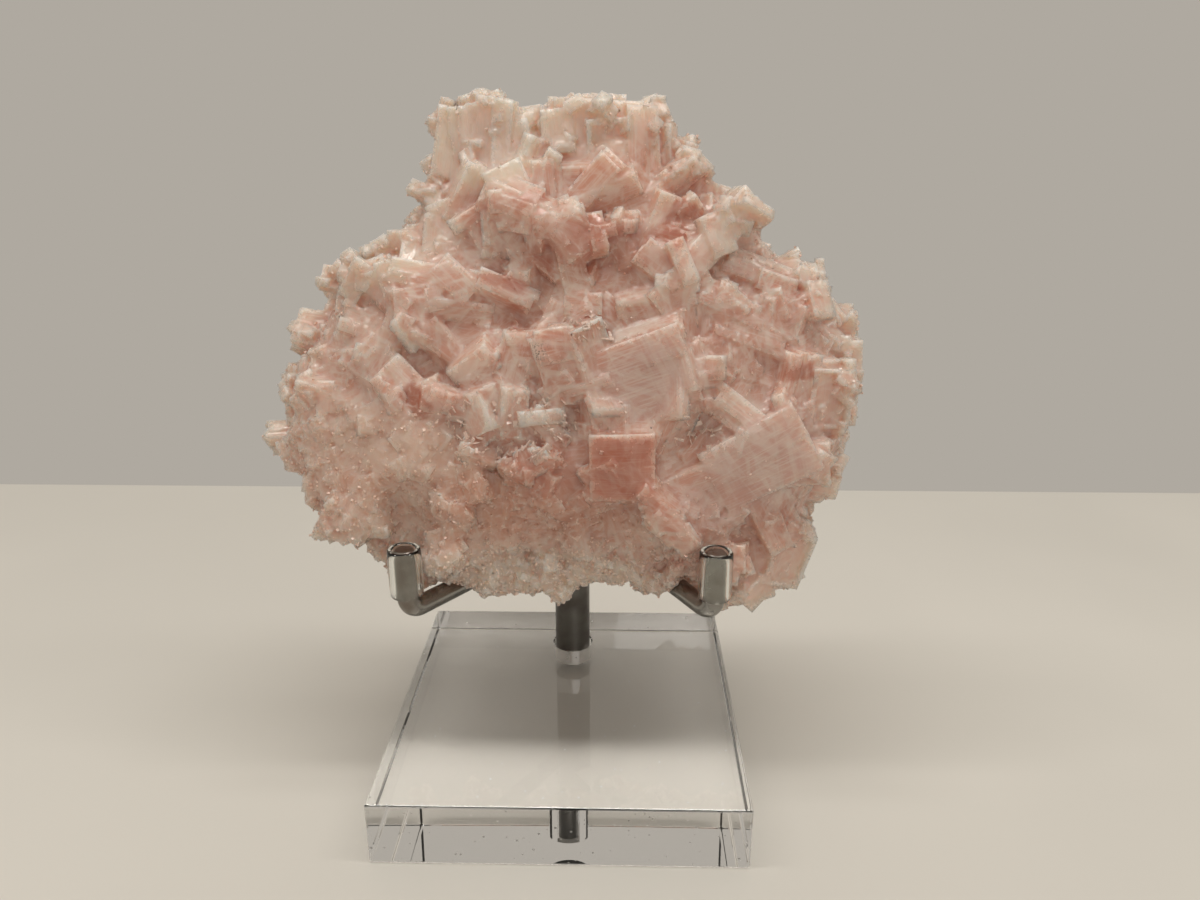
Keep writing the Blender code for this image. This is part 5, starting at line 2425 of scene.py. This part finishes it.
@dataclass(frozen=True)
class Studio:
    """The camera, the pale table and the soft light round it."""

    camera_place: tuple = (0.01016, -0.16391, 0.12655)
    camera_yaw: float = math.radians(1.153)
    camera_pitch: float = math.radians(19.445)
    focal_pixels: float = 892.2
    image_width: float = 1200.0
    sensor: float = 36.0
    aim_z: float = 0.06
    table_back: float = 0.154
    table_gap: float = 0.0001
    table_reach: float = 0.9
    table_thickness: float = 0.03
    table_rounding: float = 0.004
    backdrop: tuple = colour(175, 169, 160)

    def camera(self) -> None:
        """A level camera turned by yaw and tipped down by pitch."""
        data = bpy.data.cameras.new("camera")
        data.sensor_width = self.sensor
        data.lens = self.focal_pixels * self.sensor / self.image_width
        data.clip_start, data.clip_end = 0.005, 20
        yaw, pitch = self.camera_yaw, self.camera_pitch
        level = math.cos(pitch)
        forward = np.array((-math.sin(yaw) * level, math.cos(yaw) * level, -math.sin(pitch)))
        right = np.array((math.cos(yaw), math.sin(yaw), 0))
        turn = np.identity(4)
        turn[:3, 0], turn[:3, 1], turn[:3, 2] = right, np.cross(right, forward), -forward
        turn[:3, 3] = self.camera_place
        obj = bpy.data.objects.new("camera", data)
        obj.matrix_world = Matrix(turn.tolist())
        bpy.context.scene.collection.objects.link(obj)
        bpy.context.scene.camera = obj

    def table(self) -> None:
        """A slab whose top is the floor. Its back edge is rounded."""
        half, thick, round_off = self.table_reach, self.table_thickness, self.table_rounding
        quarter = np.linspace(0, np.pi / 2, 7)
        y = self.table_back - round_off + round_off * np.sin(quarter)
        z = -round_off + round_off * np.cos(quarter)
        under = [(self.table_back, -thick), (-half, -thick)]
        profile = np.concatenate([[(-half, 0)], np.stack([y, z], 1), under])
        x = np.repeat((-half, half), len(profile))
        z = np.tile(profile[:, 1], 2) - self.table_gap
        points = np.stack([x, np.tile(profile[:, 0], 2), z], axis=1)
        obj = new_object("table", points, capped(2, len(profile)))
        obj.data.materials.append(FloorFinish().material())
        obj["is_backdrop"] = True

    def light(self, name: str, place: tuple, size: tuple, power: float, shade: tuple) -> None:
        """A rectangular soft light aimed at the specimen, its width level.

        It is tilted by the angle whose tangent is its distance over its height, and turned to
        face the middle of the scene.

        Args:
            name: the light's name.
            place: where it hangs.
            size: its width and depth.
            power: its power in watts.
            shade: its colour as linear light.
        """
        data = bpy.data.lights.new(name, "AREA")
        data.shape = "RECTANGLE"
        data.size, data.size_y = size
        data.energy, data.color = power, shade
        x, y, z = place
        obj = bpy.data.objects.new(name, data)
        obj.location = place
        obj.rotation_euler = (math.atan2(math.hypot(x, y), z - self.aim_z), 0, math.atan2(x, -y))
        bpy.context.scene.collection.objects.link(obj)

    def build(self) -> None:
        """Sets up the whole studio."""
        scene = bpy.context.scene
        scene.view_settings.view_transform = "Standard"
        world = bpy.data.worlds.new("backdrop")
        world.use_nodes = True
        world.node_tree.nodes["Background"].inputs["Color"].default_value = self.backdrop
        scene.world = world
        self.camera()
        self.table()
        self.light("strip", (0, -0.08, 0.62), (1.0, 0.05), 2.6, (1.0, 0.975, 0.93))
        self.light("front_fill", (0.35, -0.9, 0.55), (0.7, 0.5), 1.1, (1.0, 0.98, 0.95))


def write_sizes() -> None:
    boxes = {"cad": CAD_BOX, "visual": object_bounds()}
    plain = {name: [list(corner) for corner in box] for name, box in boxes.items()}


def main() -> None:
    """Builds the studio, the stand and the specimen."""
    logging.basicConfig(level=logging.INFO, format="%(name)s: %(message)s")
    Studio().build()
    stand = Stand()
    stand.build()
    Cluster().build(stand)
    write_sizes()


if __name__ == "__main__":
    main()
